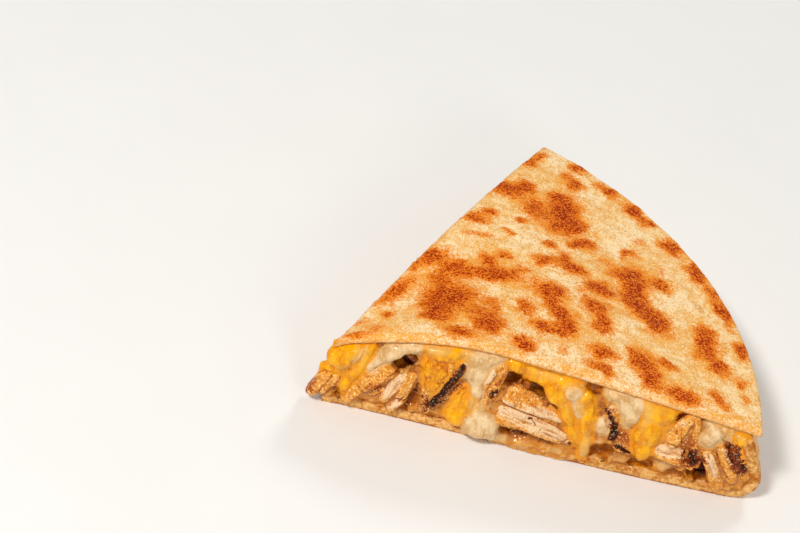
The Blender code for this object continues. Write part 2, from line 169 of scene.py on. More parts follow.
@dataclass(frozen=True)
class WedgeForm:
    """The wedge's driving sizes and the surfaces that they give."""

    radius: float = 125.0
    angle: float = 66.0
    top_sheet: float = 2.6
    bottom_sheet: float = 3.2
    tip_height: float = 24.3
    peak_height: float = 35.2
    peak_radius: float = 45.0
    rise_power: float = 0.9
    fall_power: float = 1.25
    rim_height: float = 27.8
    back_corner_height: float = 26.5
    back_cut_rise: float = 4.0
    wave_height: float = 0.5
    wave_pitch: float = 0.11
    low_recess: float = 1.6
    high_recess: float = 7.0
    recess_power: float = 1.2
    gap: float = 0.35
    tuck_height: float = 1.0
    tuck_depth: float = 1.2
    round_reach: float = 2.2
    tip_fade: float = 20.0

    def front_height(self, radius: np.ndarray) -> np.ndarray:
        """Height of the top surface along the front cut.

        Args:
            radius: distances from the tip.

        Returns:
            A height for each distance.
        """
        near = np.clip(radius / self.peak_radius, 0, 1)
        swell = np.sin(math.pi / 2 * near) ** self.rise_power
        rise = self.tip_height + (self.peak_height - self.tip_height) * swell
        far = np.clip((radius - self.peak_radius) / (self.radius - self.peak_radius), 0, None)
        fall = self.peak_height - (self.peak_height - self.rim_height) * far**self.fall_power
        return np.where(far > 0, fall, rise)

    def back_height(self, radius: np.ndarray) -> np.ndarray:
        """Height of the top surface along the back cut.

        Args:
            radius: distances from the tip.

        Returns:
            A height for each distance.
        """
        along = radius / self.radius
        slope = (self.back_corner_height - self.tip_height) * along
        return self.tip_height + slope + self.back_cut_rise * np.sin(math.pi * along)

    def top_height(self, radius: np.ndarray, bearing: np.ndarray) -> np.ndarray:
        """Height of the top surface anywhere.

        Args:
            radius: distances from the tip.
            bearing: the bearings that go with them.

        Returns:
            A height for each place.
        """
        side = np.clip(bearing / self.angle, 0, 1)
        blend = side * side * (3 - 2 * side)
        wave = self.wave_height * np.sin(self.wave_pitch * radius) * np.sin(math.pi * side)
        return self.front_height(radius) * (1 - blend) + self.back_height(radius) * blend + wave

    def ceiling(self, points: np.ndarray) -> np.ndarray:
        """Height of the top tortilla's underside over each point.

        Args:
            points: the points, as (n, 3).

        Returns:
            A height for each point.
        """
        radius = np.minimum(np.hypot(points[:, 0], points[:, 1]), self.radius)
        bearing = np.degrees(np.arctan2(points[:, 1], points[:, 0]))
        return self.top_height(radius, bearing) - self.top_sheet

    def off_tip(self, along: np.ndarray) -> np.ndarray:
        """0 at the tip, rising to 1 a short way along, so that the point itself stays sharp."""
        return np.clip(along * self.tip_fade, 0, 1)

    def recess(self, share: np.ndarray) -> np.ndarray:
        """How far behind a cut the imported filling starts, at a share of the height between the sheets."""
        return self.low_recess + (self.high_recess - self.low_recess) * share**self.recess_power

    def on_cut(self, points: np.ndarray, side: Side) -> np.ndarray:
        """Points as (distance along, depth, height) at a cut, from the wedge's frame or back to it.

        Args:
            points: the points, as (n, 3).
            side: which cut.

        Returns:
            The changed points. The same call turns them back.
        """
        if side is Side.FRONT:
            return points.copy()
        radius = np.hypot(points[:, 0], points[:, 1])
        bearing = math.radians(self.angle) - np.arctan2(points[:, 1], points[:, 0])
        return np.stack([radius * np.cos(bearing), radius * np.sin(bearing), points[:, 2]], axis=1)

    def tucked(self, points: np.ndarray, side: Side) -> np.ndarray:
        """Points with those that reach the top sheet kept inside it and behind its cut edge.

        Args:
            points: the points, as (n, 3).
            side: the cut that they show at.

        Returns:
            The points, moved where they need to be.
        """
        over = points[:, 2] - self.ceiling(points)
        local = self.on_cut(points - np.clip(over - self.tuck_height, 0, None)[:, None] * (0, 0, 1), side)
        short = np.clip(self.tuck_depth - local[:, 1], 0, None)
        local[:, 1] += short * ease(-self.tuck_height, 0.0, over)
        return self.on_cut(local, side)


FORM = WedgeForm()


def polar(radius: np.ndarray, bearing: np.ndarray, height: np.ndarray) -> np.ndarray:
    """Points from their distances to the tip, bearings and heights."""
    turn = np.radians(bearing)
    return np.stack([radius * np.cos(turn), radius * np.sin(turn), height], axis=1)


def drawn_in(points: np.ndarray, radius: np.ndarray, bearing: np.ndarray, amount: np.ndarray) -> np.ndarray:
    """Points of a sheet drawn in from both cuts, most at the cut itself, so that its edges are round.

    Args:
        points: the sheet's points.
        radius: each point's distance from the tip.
        bearing: each point's bearing.
        amount: how far each point would move if it lay on a cut.

    Returns:
        The moved points.
    """
    level = np.zeros(len(points))
    for turn, inward in ((bearing, 90.0), (FORM.angle - bearing, FORM.angle - 90.0)):
        away = radius * np.sin(np.radians(turn))
        shift = amount * np.clip(1 - away / FORM.round_reach, 0, 1) ** 2
        points = points + polar(shift, level + inward, level)
    return points


def at_cuts(side: np.ndarray) -> np.ndarray:
    """Which points lie on a cut, by their share of the wedge's angle."""
    return (side < EDGE_SHARE) | (side > 1 - EDGE_SHARE)


class Skin:
    """The fine surface of one piece while it is being shaped, in the wedge's frame in millimetres."""

    def __init__(self, mesh: bpy.types.Mesh) -> None:
        """Reads a mesh's points and edges.

        Args:
            mesh: the mesh, in the wedge's frame in millimetres.
        """
        self.mesh = mesh
        self.points = np.empty(len(mesh.vertices) * 3, np.float32)
        mesh.vertices.foreach_get("co", self.points)
        self.points = self.points.reshape(-1, 3).astype(float)
        self.edges = np.empty(len(mesh.edges) * 2, np.int32)
        mesh.edges.foreach_get("vertices", self.edges)
        self.edges = self.edges.reshape(-1, 2)
        self.links = np.bincount(self.edges.ravel(), minlength=len(self.points)).astype(float)

    def write(self, places: np.ndarray) -> None:
        """Gives the mesh's points their places."""
        self.mesh.vertices.foreach_set("co", places.astype(np.float32).ravel())
        self.mesh.update()

    def normals(self) -> np.ndarray:
        """The direction in which each point faces.

        Returns:
            A direction for each point, as (n, 3).
        """
        self.write(self.points)
        facing = np.empty(len(self.points) * 3, np.float32)
        self.mesh.vertices.foreach_get("normal", facing)
        return facing.reshape(-1, 3).astype(float)

    def around(self, values: np.ndarray) -> np.ndarray:
        """The mean of each point's neighbours, for one value a point or three.

        Args:
            values: values at the points, as (n,) or (n, 3).

        Returns:
            The means, in the same form.
        """
        first, second = self.edges.T
        totals = []
        for column in values.reshape(len(values), -1).T:
            total = np.bincount(first, column[second], len(column))
            totals.append(total + np.bincount(second, column[first], len(column)))
        return (np.stack(totals, axis=1) / self.links[:, None]).reshape(values.shape)

    def push(self, amounts: np.ndarray) -> None:
        """Moves each point along its normal."""
        self.points += self.normals() * amounts[:, None]

    def smooth(self, rounds: int, share: float = 0.5) -> None:
        """Relaxes the surface."""
        for _ in range(rounds):
            self.points += (self.around(self.points) - self.points) * share

    def hollows(self, rounds: int) -> np.ndarray:
        """How deep each point lies under the surface round it, in millimetres: above 0 in a crease.

        Args:
            rounds: how many points out the surface round each one reaches.

        Returns:
            A depth for each point.
        """
        level = self.points.copy()
        for _ in range(rounds):
            level = self.around(level)
        return ((level - self.points) * self.normals()).sum(axis=1)

    def mark(self, name: str, values: np.ndarray) -> None:
        """Stores one value a point under a name that materials read."""
        layer = self.mesh.attributes.new(name, "FLOAT", "POINT")
        layer.data.foreach_set("value", np.clip(values, 0, 1).astype(np.float32))


def linked(name: str, data: bpy.types.ID) -> bpy.types.Object:
    """A new object in the scene that holds some data.

    Args:
        name: the object's name.
        data: its mesh, camera or light.

    Returns:
        The object.
    """
    made = bpy.data.objects.new(name, data)
    bpy.context.scene.collection.objects.link(made)
    return made


def mesh_of(body: bmesh.types.BMesh, name: str = "draft") -> bpy.types.Mesh:
    """A bmesh written out as a mesh, and freed.

    Args:
        body: the bmesh.
        name: the mesh's name.

    Returns:
        The mesh.
    """
    mesh = bpy.data.meshes.new(name)
    body.to_mesh(mesh)
    body.free()
    return mesh


def serve(skin: Skin, name: str, material: bpy.types.Material, food: Food, *nodes: str) -> bpy.types.Object:
    """Turns a shaped skin into a finished piece of the object.

    Args:
        skin: the piece's surface, in the wedge's frame in millimetres.
        name: the piece's name.
        material: what it is made of.
        food: what the piece is made of. It is not used.
        nodes: the CAD nodes that it stands for.

    Returns:
        The piece, in the frame in metres.
    """
    skin.write(skin.points * MM + np.array((TIP.x, TIP.y, 0.0)))
    skin.mesh.shade_smooth()
    skin.mesh.materials.clear()
    skin.mesh.materials.append(material)
    piece = linked(name, skin.mesh)
    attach(piece, "root")
    if nodes:
        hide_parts(*nodes)
    log.info("%s: %d points", name, len(skin.points))
    return piece


def skin_of(body: bmesh.types.BMesh) -> Skin:
    """A skin straight from a bmesh, whose faces are turned outward first.

    Args:
        body: a closed shape. It is freed.

    Returns:
        The skin.
    """
    bmesh.ops.recalc_face_normals(body, faces=body.faces)
    if body.calc_volume(signed=True) < 0:
        bmesh.ops.reverse_faces(body, faces=body.faces)
    return Skin(mesh_of(body, "skin"))


def remeshed(body: bmesh.types.BMesh, voxel: float) -> Skin:
    """One closed skin round all that a bmesh holds, without its small scraps.

    Args:
        body: closed shapes that may overlap. It is freed.
        voxel: the skin's fineness, in millimetres.

    Returns:
        The new skin.
    """
    mesh = mesh_of(body)
    draft = linked("draft", mesh)
    skinner = draft.modifiers.new("skin", "REMESH")
    skinner.mode = "VOXEL"
    skinner.voxel_size = voxel
    graph = bpy.context.evaluated_depsgraph_get()
    made = bpy.data.meshes.new_from_object(draft.evaluated_get(graph))
    bpy.data.objects.remove(draft)
    bpy.data.meshes.remove(mesh)
    whole = bmesh.new()
    whole.from_mesh(made)
    bpy.data.meshes.remove(made)
    drop_crumbs(whole)
    return skin_of(whole)


def drop_crumbs(body: bmesh.types.BMesh, share: float = 0.12) -> None:
    """Deletes the separate bodies of a bmesh that have less than a share of the largest one's points.

    Args:
        body: the bmesh.
        share: the least share that is kept.
    """
    waiting = set(body.verts)
    islands = []
    while waiting:
        front = [waiting.pop()]
        island = list(front)
        while front:
            for edge in front.pop().link_edges:
                for point in edge.verts:
                    if point in waiting:
                        waiting.discard(point)
                        island.append(point)
                        front.append(point)
        islands.append(island)
    largest = max(len(island) for island in islands)
    crumbs = [point for island in islands if len(island) < share * largest for point in island]
    if crumbs:
        bmesh.ops.delete(body, geom=crumbs, context="VERTS")


def node_body(name: str) -> bmesh.types.BMesh:
    """A CAD node's shape as a merged bmesh in the wedge's frame.

    Args:
        name: the node.

    Returns:
        The shape, in millimetres.
    """
    body = bmesh.new()
    body.from_mesh(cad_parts[name].data)
    bmesh.ops.translate(body, verts=body.verts, vec=(-TIP.x, -TIP.y, 0.0))
    bmesh.ops.scale(body, verts=body.verts, vec=(1 / MM, 1 / MM, 1 / MM))
    bmesh.ops.remove_doubles(body, verts=body.verts, dist=MERGE_DISTANCE)
    return body


def wedge_block(columns: int, rows: int, turns: int) -> bmesh.types.BMesh:
    """A block of unit radius and height, spun through the wedge's angle.

    Args:
        columns: faces from tip to rim.
        rows: faces from bottom to top.
        turns: faces from cut to cut.

    Returns:
        The block, before it is shaped.
    """
    block = bmesh.new()
    bmesh.ops.create_grid(block, x_segments=columns, y_segments=rows, size=0.5)
    bmesh.ops.translate(block, verts=block.verts, vec=(0.5, 0.5, 0))
    bmesh.ops.rotate(block, verts=block.verts, matrix=Matrix.Rotation(math.pi / 2, 3, "X"))
    bmesh.ops.spin(
        block,
        geom=block.verts[:] + block.edges[:] + block.faces[:],
        cent=(0, 0, 0),
        axis=(0, 0, 1),
        angle=math.radians(FORM.angle),
        steps=turns,
    )
    return block


def shaped_block(block: bmesh.types.BMesh, place: Callable) -> tuple[Skin, np.ndarray]:
    """Shapes a wedge block and closes its tip.

    Args:
        block: a block from wedge_block.
        place: gives the points for arrays of (along, side, height), each from 0 to 1.

    Returns:
        The skin, and the (along, side, height) of each of its points.
    """
    raw = np.array([point.co for point in block.verts])
    along = np.hypot(raw[:, 0], raw[:, 1])
    side = np.where(along > 1e-6, np.degrees(np.arctan2(raw[:, 1], raw[:, 0])) / FORM.angle, 0.0)
    shares = np.stack([along, np.clip(side, 0, 1), raw[:, 2]], axis=1)
    layers = [block.verts.layers.float.new(name) for name in ("along", "side", "height")]
    for point, target, share in zip(block.verts, place(*shares.T).tolist(), shares.tolist()):
        point.co = target
        for layer, value in zip(layers, share):
            point[layer] = value
    bmesh.ops.remove_doubles(block, verts=block.verts, dist=1e-4)
    skin = skin_of(block)
    kept = np.empty((3, len(skin.points)), np.float32)
    for row, name in enumerate(("along", "side", "height")):
        skin.mesh.attributes[name].data.foreach_get("value", kept[row])
        skin.mesh.attributes.remove(skin.mesh.attributes[name])
    return skin, kept.T.astype(float)


class Recipe:
    """A material's node tree, with short calls for the nodes that the finishes share."""

    def __init__(self, name: str) -> None:
        """Starts a material with a position in millimetres ready to use.

        Args:
            name: the material's name.
        """
        self.material = bpy.data.materials.new(name)
        self.material.use_nodes = True
        self.tree = self.material.node_tree
        self.shader = self.tree.nodes["Principled BSDF"]
        place = self.tree.nodes.new("ShaderNodeTexCoord").outputs["Object"]
        self.place = self.add("ShaderNodeVectorMath", {0: place, 3: 1 / MM}, operation="SCALE").outputs[0]

    def add(self, kind: str, inputs: dict, **settings: object) -> bpy.types.Node:
        """Adds a node, sets its properties, and links or sets its inputs.

        Args:
            kind: the node's type.
            inputs: a value or another node's output for each input.
            settings: the node's properties.

        Returns:
            The node.
        """
        node = self.tree.nodes.new(kind)
        for key, value in settings.items():
            setattr(node, key, value)
        for key, value in inputs.items():
            if isinstance(value, bpy.types.NodeSocket):
                self.tree.links.new(value, node.inputs[key])
            else:
                node.inputs[key].default_value = value
        return node

    def grain(self, pitch: float, detail: float = 2.0, rough: float = 0.5,
              stretch: tuple[float, float, float] | None = None) -> Level:
        """Noise from 0 to 1 whose lumps are a pitch apart, in millimetres, stretched if wanted.

        Args:
            pitch: how far apart the lumps are.
            detail: how many finer layers are added.
            rough: how strong the finer layers are.
            stretch: how closely the lumps are packed on each axis.

        Returns:
            The noise.
        """
        place = self.place
        if stretch:
            place = self.add("ShaderNodeMapping", {0: place, "Scale": stretch}).outputs[0]
        inputs = {"Vector": place, "Scale": 1 / pitch, "Detail": detail, "Roughness": rough}
        return self.add("ShaderNodeTexNoise", inputs).outputs[0]

    def level(self, name: str) -> Level:
        """The value that a piece's skin holds under a name."""
        return self.add("ShaderNodeAttribute", {}, attribute_name=name).outputs["Fac"]

    def sum(self, first: Level, second: Level, gain: float = 1.0) -> Level:
        """first + second x gain."""
        inputs = {0: second, 1: gain, 2: first}
        return self.add("ShaderNodeMath", inputs, operation="MULTIPLY_ADD").outputs[0]

    def times(self, first: Level, second: Level) -> Level:
        """first x second."""
        return self.add("ShaderNodeMath", {0: first, 1: second}, operation="MULTIPLY").outputs[0]

    def between(self, value: Level, low: float, high: float, start: float = 0.0, end: float = 1.0) -> Level:
        """A value read from low..high to start..end, smoothly and clamped."""
        inputs = {"Value": value, 1: low, 2: high, 3: start, 4: end}
        return self.add("ShaderNodeMapRange", inputs, interpolation_type="SMOOTHSTEP").outputs[0]

    def blend(self, share: Level, first: Paint, second: Paint) -> Paint:
        """A colour between two, as a share from 0 to 1.

        Args:
            share: how much of the second colour shows.
            first: the colour at 0.
            second: the colour at 1.

        Returns:
            The blended colour.
        """
        inputs = {0: share}
        for key, value in ((6, first), (7, second)):
            inputs[key] = (*value, 1) if isinstance(value, tuple) else value
        return self.add("ShaderNodeMix", inputs, data_type="RGBA").outputs[2]

    def over(self, under: Paint, colour: Paint, value: Level, low: float, high: float,
             start: float = 0.0, end: float = 1.0) -> Paint:
        """A colour laid over another, from a start share to an end one as a value goes from low to high."""
        return self.blend(self.between(value, low, high, start, end), under, colour)

    def uneven(self, value: Level, rough: Level, gain: float, middle: float = 0.5) -> Level:
        """A value broken up by how far a noise is from its middle."""
        return self.sum(value, self.sum(rough, -middle), gain)

    def relief(self, *layers: tuple) -> None:
        """Bumps the surface with layers of (height from 0 to 1, depth in millimetres).

        Args:
            layers: the heights and depths, the coarsest first.
        """
        normal = None
        for height, depth in layers:
            inputs = {"Height": height, "Distance": depth * MM, "Strength": 1.0}
            if normal is not None:
                inputs["Normal"] = normal
            normal = self.add("ShaderNodeBump", inputs).outputs[0]
        self.tree.links.new(normal, self.shader.inputs["Normal"])

    def colour(self, value: Paint) -> None:
        """Gives the surface its colour."""
        self.tree.links.new(value, self.shader.inputs["Base Color"])

    def dull(self, value: Level) -> None:
        """Gives the surface its roughness."""
        self.tree.links.new(value, self.shader.inputs["Roughness"])

    def settle(self, **values: float) -> None:
        """Sets the shader's own sockets, with spaces for the underscores in their names."""
        for key, value in values.items():
            self.shader.inputs[key.replace("_", " ")].default_value = value

    def moisten(self, specular: float, coat: float, tint: Colour = (1.0, 0.8, 0.4)) -> None:
        """Makes the surface wet: a warm sheen under a thin clear coat."""
        self.settle(Specular_IOR_Level=specular, Coat_Weight=coat, Coat_Roughness=0.08)
        self.shader.inputs["Specular Tint"].default_value = (*tint, 1)


@dataclass(frozen=True)
class TortillaFinish:
    """Toasted flour tortilla: cream, with orange haloes round red-brown grainy spots."""

    cream: Colour = tone(250, 214, 156)
    pale_cream: Colour = tone(255, 230, 186)
    warm_cream: Colour = tone(240, 184, 102)
    golden: Colour = tone(242, 166, 64)
    halo: Colour = tone(238, 140, 40)
    toast: Colour = tone(214, 86, 2)
    dark_toast: Colour = tone(150, 36, 0)
    crumb: Colour = tone(240, 190, 118)
    crumb_shade: Colour = tone(214, 152, 76)
    fleck: Colour = tone(186, 116, 52)
    sauce: Colour = tone(180, 98, 22)

    def material(self, name: str) -> bpy.types.Material:
        """Builds the material, which reads the skins' toast, halo, crumb and stain.

        Args:
            name: the material's name.

        Returns:
            The material.
        """
        mix = Recipe(name)
        fine = mix.grain(0.5, 2.0, 0.7)
        grain = mix.grain(1.0, 3.0, 0.7)
        broad = mix.uneven(mix.grain(12.0, 3.0), mix.grain(3.0, 3.0), 0.6)
        pale = mix.over(self.cream, self.warm_cream, broad, 0.42, 0.66)
        pale = mix.over(pale, self.pale_cream, broad, 0.46, 0.34, 0.0, 0.7)
        pale = mix.over(pale, self.warm_cream, grain, 0.44, 0.64, 0.0, 0.7)
        pale = mix.over(pale, self.pale_cream, fine, 0.5, 0.36, 0.0, 0.8)
        specks = mix.between(mix.grain(0.6, 1.0), 0.6, 0.68)
        specks = mix.times(specks, mix.between(mix.grain(3.0), 0.42, 0.6))
        pale = mix.blend(mix.times(specks, 0.85), pale, self.fleck)
        toast = mix.level("toast")
        rough = mix.sum(mix.sum(grain, fine), -1.0)
        heat = mix.sum(toast, mix.times(rough, mix.between(toast, 0.0, 0.4, 0.3, 1.0)), 1.15)
        # the halo mark holds the toast haloes and the painted shade along the front cut; both lay on the
        # golden colour
        glow = mix.uneven(mix.sum(mix.level("halo"), rough, 1.9), broad, 1.0)
        surface = mix.over(pale, self.golden, glow, 0.08, 0.9, 0.0, 0.95)
        surface = mix.over(surface, self.halo, heat, 0.03, 0.42)
        surface = mix.over(surface, self.toast, heat, 0.4, 0.9)
        surface = mix.over(surface, self.dark_toast, mix.sum(toast, rough, 2.0), 0.7, 1.2)
        surface = mix.blend(mix.times(mix.between(rough, -0.04, -0.2), toast), surface, self.halo)
        crumb = mix.over(self.crumb, self.crumb_shade, grain, 0.4, 0.66)
        surface = mix.blend(mix.level("crumb"), surface, crumb)
        mix.colour(mix.over(surface, self.sauce, mix.uneven(mix.level("stain"), grain, 0.9), 0.25, 0.75))
        mix.dull(mix.between(heat, 0.2, 0.9, 0.6, 0.45))
        mix.relief((grain, 0.16), (fine, 0.1))
        mix.moisten(0.06, 0.0)
        return mix.material


@dataclass(frozen=True)
class ChickenFinish:
    """Seasoned chicken: pale fibres, an orange-brown grainy crust, and char, all moist, with painted shade
    in its creases and painted glint specks.
    """

    meat: Colour = tone(220, 164, 110)
    meat_light: Colour = tone(242, 206, 162)
    meat_shade: Colour = tone(178, 100, 38)
    crust_light: Colour = tone(250, 194, 104)
    crust: Colour = tone(234, 158, 62)
    crust_deep: Colour = tone(212, 126, 36)
    browned: Colour = tone(168, 70, 8)
    # painted shade: the colour that the deepest creases, seams and cracks darken to
    crevice_shade: Colour = tone(132, 50, 4)
    char: Colour = tone(26, 8, 5)
    char_edge: Colour = tone(122, 38, 6)
    glaze: Colour = tone(244, 164, 8)
    milk: Colour = tone(230, 192, 142)
    # painted glint: the pale colour of small highlight specks
    fat: Colour = tone(255, 228, 168)

    def material(self, name: str) -> bpy.types.Material:
        """Builds the material, which reads all that Chicken.build marks.

        Args:
            name: the material's name.

        Returns:
            The material.
        """
        mix = Recipe(name)
        fine = mix.grain(0.45, 2.0, 0.65)
        grain = mix.grain(1.3, 3.0, 0.65)
        broad = mix.grain(4.5, 2.0)
        rough = mix.sum(mix.sum(grain, fine), -1.0)
        strand = mix.sum(mix.level("fibre"), rough, 1.1)
        # painted shade: the crease depth darkens the meat, and the deepest creases take the crevice colour
        shade = mix.uneven(mix.level("hollow"), fine, 0.5)
        meat = mix.over(self.meat, self.meat_light, strand, 0.3, 0.9)
        meat = mix.over(meat, self.meat_shade, strand, 0.4, 0.0, 0.0, 0.6)
        meat = mix.over(meat, self.meat_shade, shade, 0.55, 0.8)
        tops = mix.uneven(mix.times(mix.level("grain"), 0.6), fine, 1.4, 0.35)
        crust = mix.over(self.crust_deep, self.crust, tops, 0.12, 0.5)
        crust = mix.over(crust, self.crust_light, tops, 0.4, 0.8)
        crust = mix.over(crust, self.crust_deep, mix.uneven(broad, grain, 0.8), 0.48, 0.75, 0.0, 0.7)
        brown = mix.uneven(mix.level("brown"), grain, 1.2)
        crust = mix.over(crust, self.browned, brown, 0.25, 0.8, 0.0, 0.9)
        surface = mix.over(meat, crust, mix.uneven(mix.level("crust"), grain, 1.6), 0.25, 0.6)
        # painted shade in the deepest creases
        surface = mix.over(surface, self.crevice_shade, shade, 0.74, 1.2)
        milky = mix.times(mix.level("milky"), mix.between(grain, 0.35, 0.55, 0.0, 0.7))
        surface = mix.blend(milky, surface, self.milk)
        glazed = mix.times(mix.level("glaze"), mix.between(grain, 0.35, 0.6, 0.2, 0.85))
        surface = mix.blend(glazed, surface, self.glaze)
        char = mix.sum(mix.level("char"), rough, 1.6)
        surface = mix.over(surface, self.char_edge, char, 0.15, 0.5)
        surface = mix.over(surface, self.char, char, 0.5, 0.95)
        # painted glints: pale specks from fine noise, fewer in creases and on char
        glint = mix.between(mix.grain(0.5, 0.0), 0.62, 0.72, 0.0, 0.7)
        glint = mix.times(glint, mix.between(shade, 0.75, 0.5))
        glint = mix.times(glint, mix.between(mix.level("char"), 0.3, 0.7, 1.0, 0.35))
        mix.colour(mix.blend(glint, surface, self.fat))
        mix.dull(mix.between(fine, 0.3, 0.7, 0.22, 0.42))
        mix.relief((grain, 0.14), (fine, 0.08))
        mix.moisten(0.12, 0.08)
        return mix.material


@dataclass(frozen=True)
class CheeseFinish:
    """Melted cheese: glossy, with painted shade in its creases, darker where it meets the chicken, and
    painted glint specks.
    """

    bright: Colour
    body: Colour
    deep: Colour
    other: Colour
    # painted glint: the colour of small highlight specks
    shine: Colour
    grainy: float

    def material(self, name: str) -> bpy.types.Material:
        """Builds the material, which reads the skins' hollow, sauce and other.

        Args:
            name: the material's name.

        Returns:
            The material.
        """
        mix = Recipe(name)
        broad = mix.grain(4.5, 2.0)
        fine = mix.grain(0.6, 2.0, 0.6)
        grain = mix.grain(1.4, 3.0)
        drawn = mix.grain(1.5, 3.0, 0.6, (1.0, 1.0, 0.3))
        surface = mix.over(self.bright, self.body, mix.uneven(broad, drawn, 0.7), 0.3, 0.7)
        # painted shade: the deep colour in the creases
        surface = mix.over(surface, self.deep, mix.level("hollow"), 0.6, 1.0)
        other = mix.times(mix.level("other"), mix.between(drawn, 0.3, 0.6, 0.5, 0.9))
        surface = mix.blend(other, surface, self.other)
        # darker towards the chicken: the sauce mark is the closeness to it
        surface = mix.over(surface, self.deep, mix.uneven(mix.level("sauce"), grain, 1.1), 0.4, 0.95)
        # painted glints: shine-coloured specks from fine noise
        mix.colour(mix.over(surface, self.shine, mix.grain(0.45, 0.0), 0.63, 0.74, 0.0, 0.55))
        mix.dull(mix.between(fine, 0.3, 0.7, 0.12, 0.3))
        mix.relief((mix.grain(1.5, 2.0), self.grainy), (drawn, 0.08), (fine, 0.05))
        mix.moisten(0.2, 0.32)
        return mix.material


CHEDDAR = CheeseFinish(
    bright=tone(250, 178, 2),
    body=tone(222, 132, 0),
    deep=tone(196, 94, 0),
    other=tone(226, 176, 96),
    shine=tone(255, 210, 76),
    grainy=0.14,
)
WHITE_CHEESE = CheeseFinish(
    bright=tone(238, 206, 156),
    body=tone(206, 158, 98),
    deep=tone(182, 120, 52),
    other=tone(230, 160, 36),
    shine=tone(250, 226, 186),
    grainy=0.03,
)


@dataclass(frozen=True)
class FillingFinish:
    """Sauced, shredded filling: orange-tan lumps and melted cheese, with painted shade in its hollows,
    creases and gaps and where it meets the chicken.
    """

    lump: Colour = tone(226, 168, 88)
    sauce: Colour = tone(202, 126, 40)
    # painted shade: the colour of the deepest hollows
    crease: Colour = tone(156, 74, 8)
    # painted shade: darker brown where the bed meets the chicken
    seam: Colour = tone(150, 68, 6)
    # painted shadow: the near-black colour of the sunk pits
    gap: Colour = tone(104, 34, 4)
    cheddar: Colour = tone(238, 152, 6)
    cream: Colour = tone(220, 178, 116)
    meat: Colour = tone(236, 162, 74)

    def material(self, name: str) -> bpy.types.Material:
        """Builds the material, which reads the skins' hollow, gap, seam, cheddar, cream and meat.

        Args:
            name: the material's name.

        Returns:
            The material.
        """
        mix = Recipe(name)
        fine = mix.grain(0.5, 2.0, 0.65)
        grain = mix.grain(1.5, 3.0, 0.65)
        # painted shade: the hollows take the darker sauce colour, and the deepest the crease colour
        shade = mix.uneven(mix.level("hollow"), grain, 0.9)
        surface = mix.over(self.lump, self.sauce, shade, 0.26, 0.62)
        meat = mix.times(mix.level("meat"), mix.between(fine, 0.35, 0.6, 0.0, 0.7))
        surface = mix.blend(meat, surface, self.meat)
        cream = mix.uneven(mix.level("cream"), grain, 0.8)
        surface = mix.over(surface, self.cream, cream, 0.35, 0.9, 0.0, 0.9)
        cheddar = mix.uneven(mix.level("cheddar"), grain, 0.8)
        surface = mix.over(surface, self.cheddar, cheddar, 0.3, 0.8, 0.0, 0.95)
        # painted shade in the deepest hollows
        surface = mix.over(surface, self.crease, mix.uneven(shade, fine, 0.6), 0.7, 1.15)
        # painted shade where the bed meets the chicken
        seam = mix.uneven(mix.level("seam"), grain, 1.2)
        surface = mix.over(surface, self.seam, seam, 0.3, 1.1, 0.0, 0.7)
        # painted shadow in the sunk pits
        mix.colour(mix.over(surface, self.gap, mix.level("gap"), 0.25, 0.75))
        mix.dull(mix.between(fine, 0.3, 0.7, 0.16, 0.36))
        mix.relief((grain, 0.25), (fine, 0.12))
        mix.moisten(0.2, 0.4)
        return mix.material


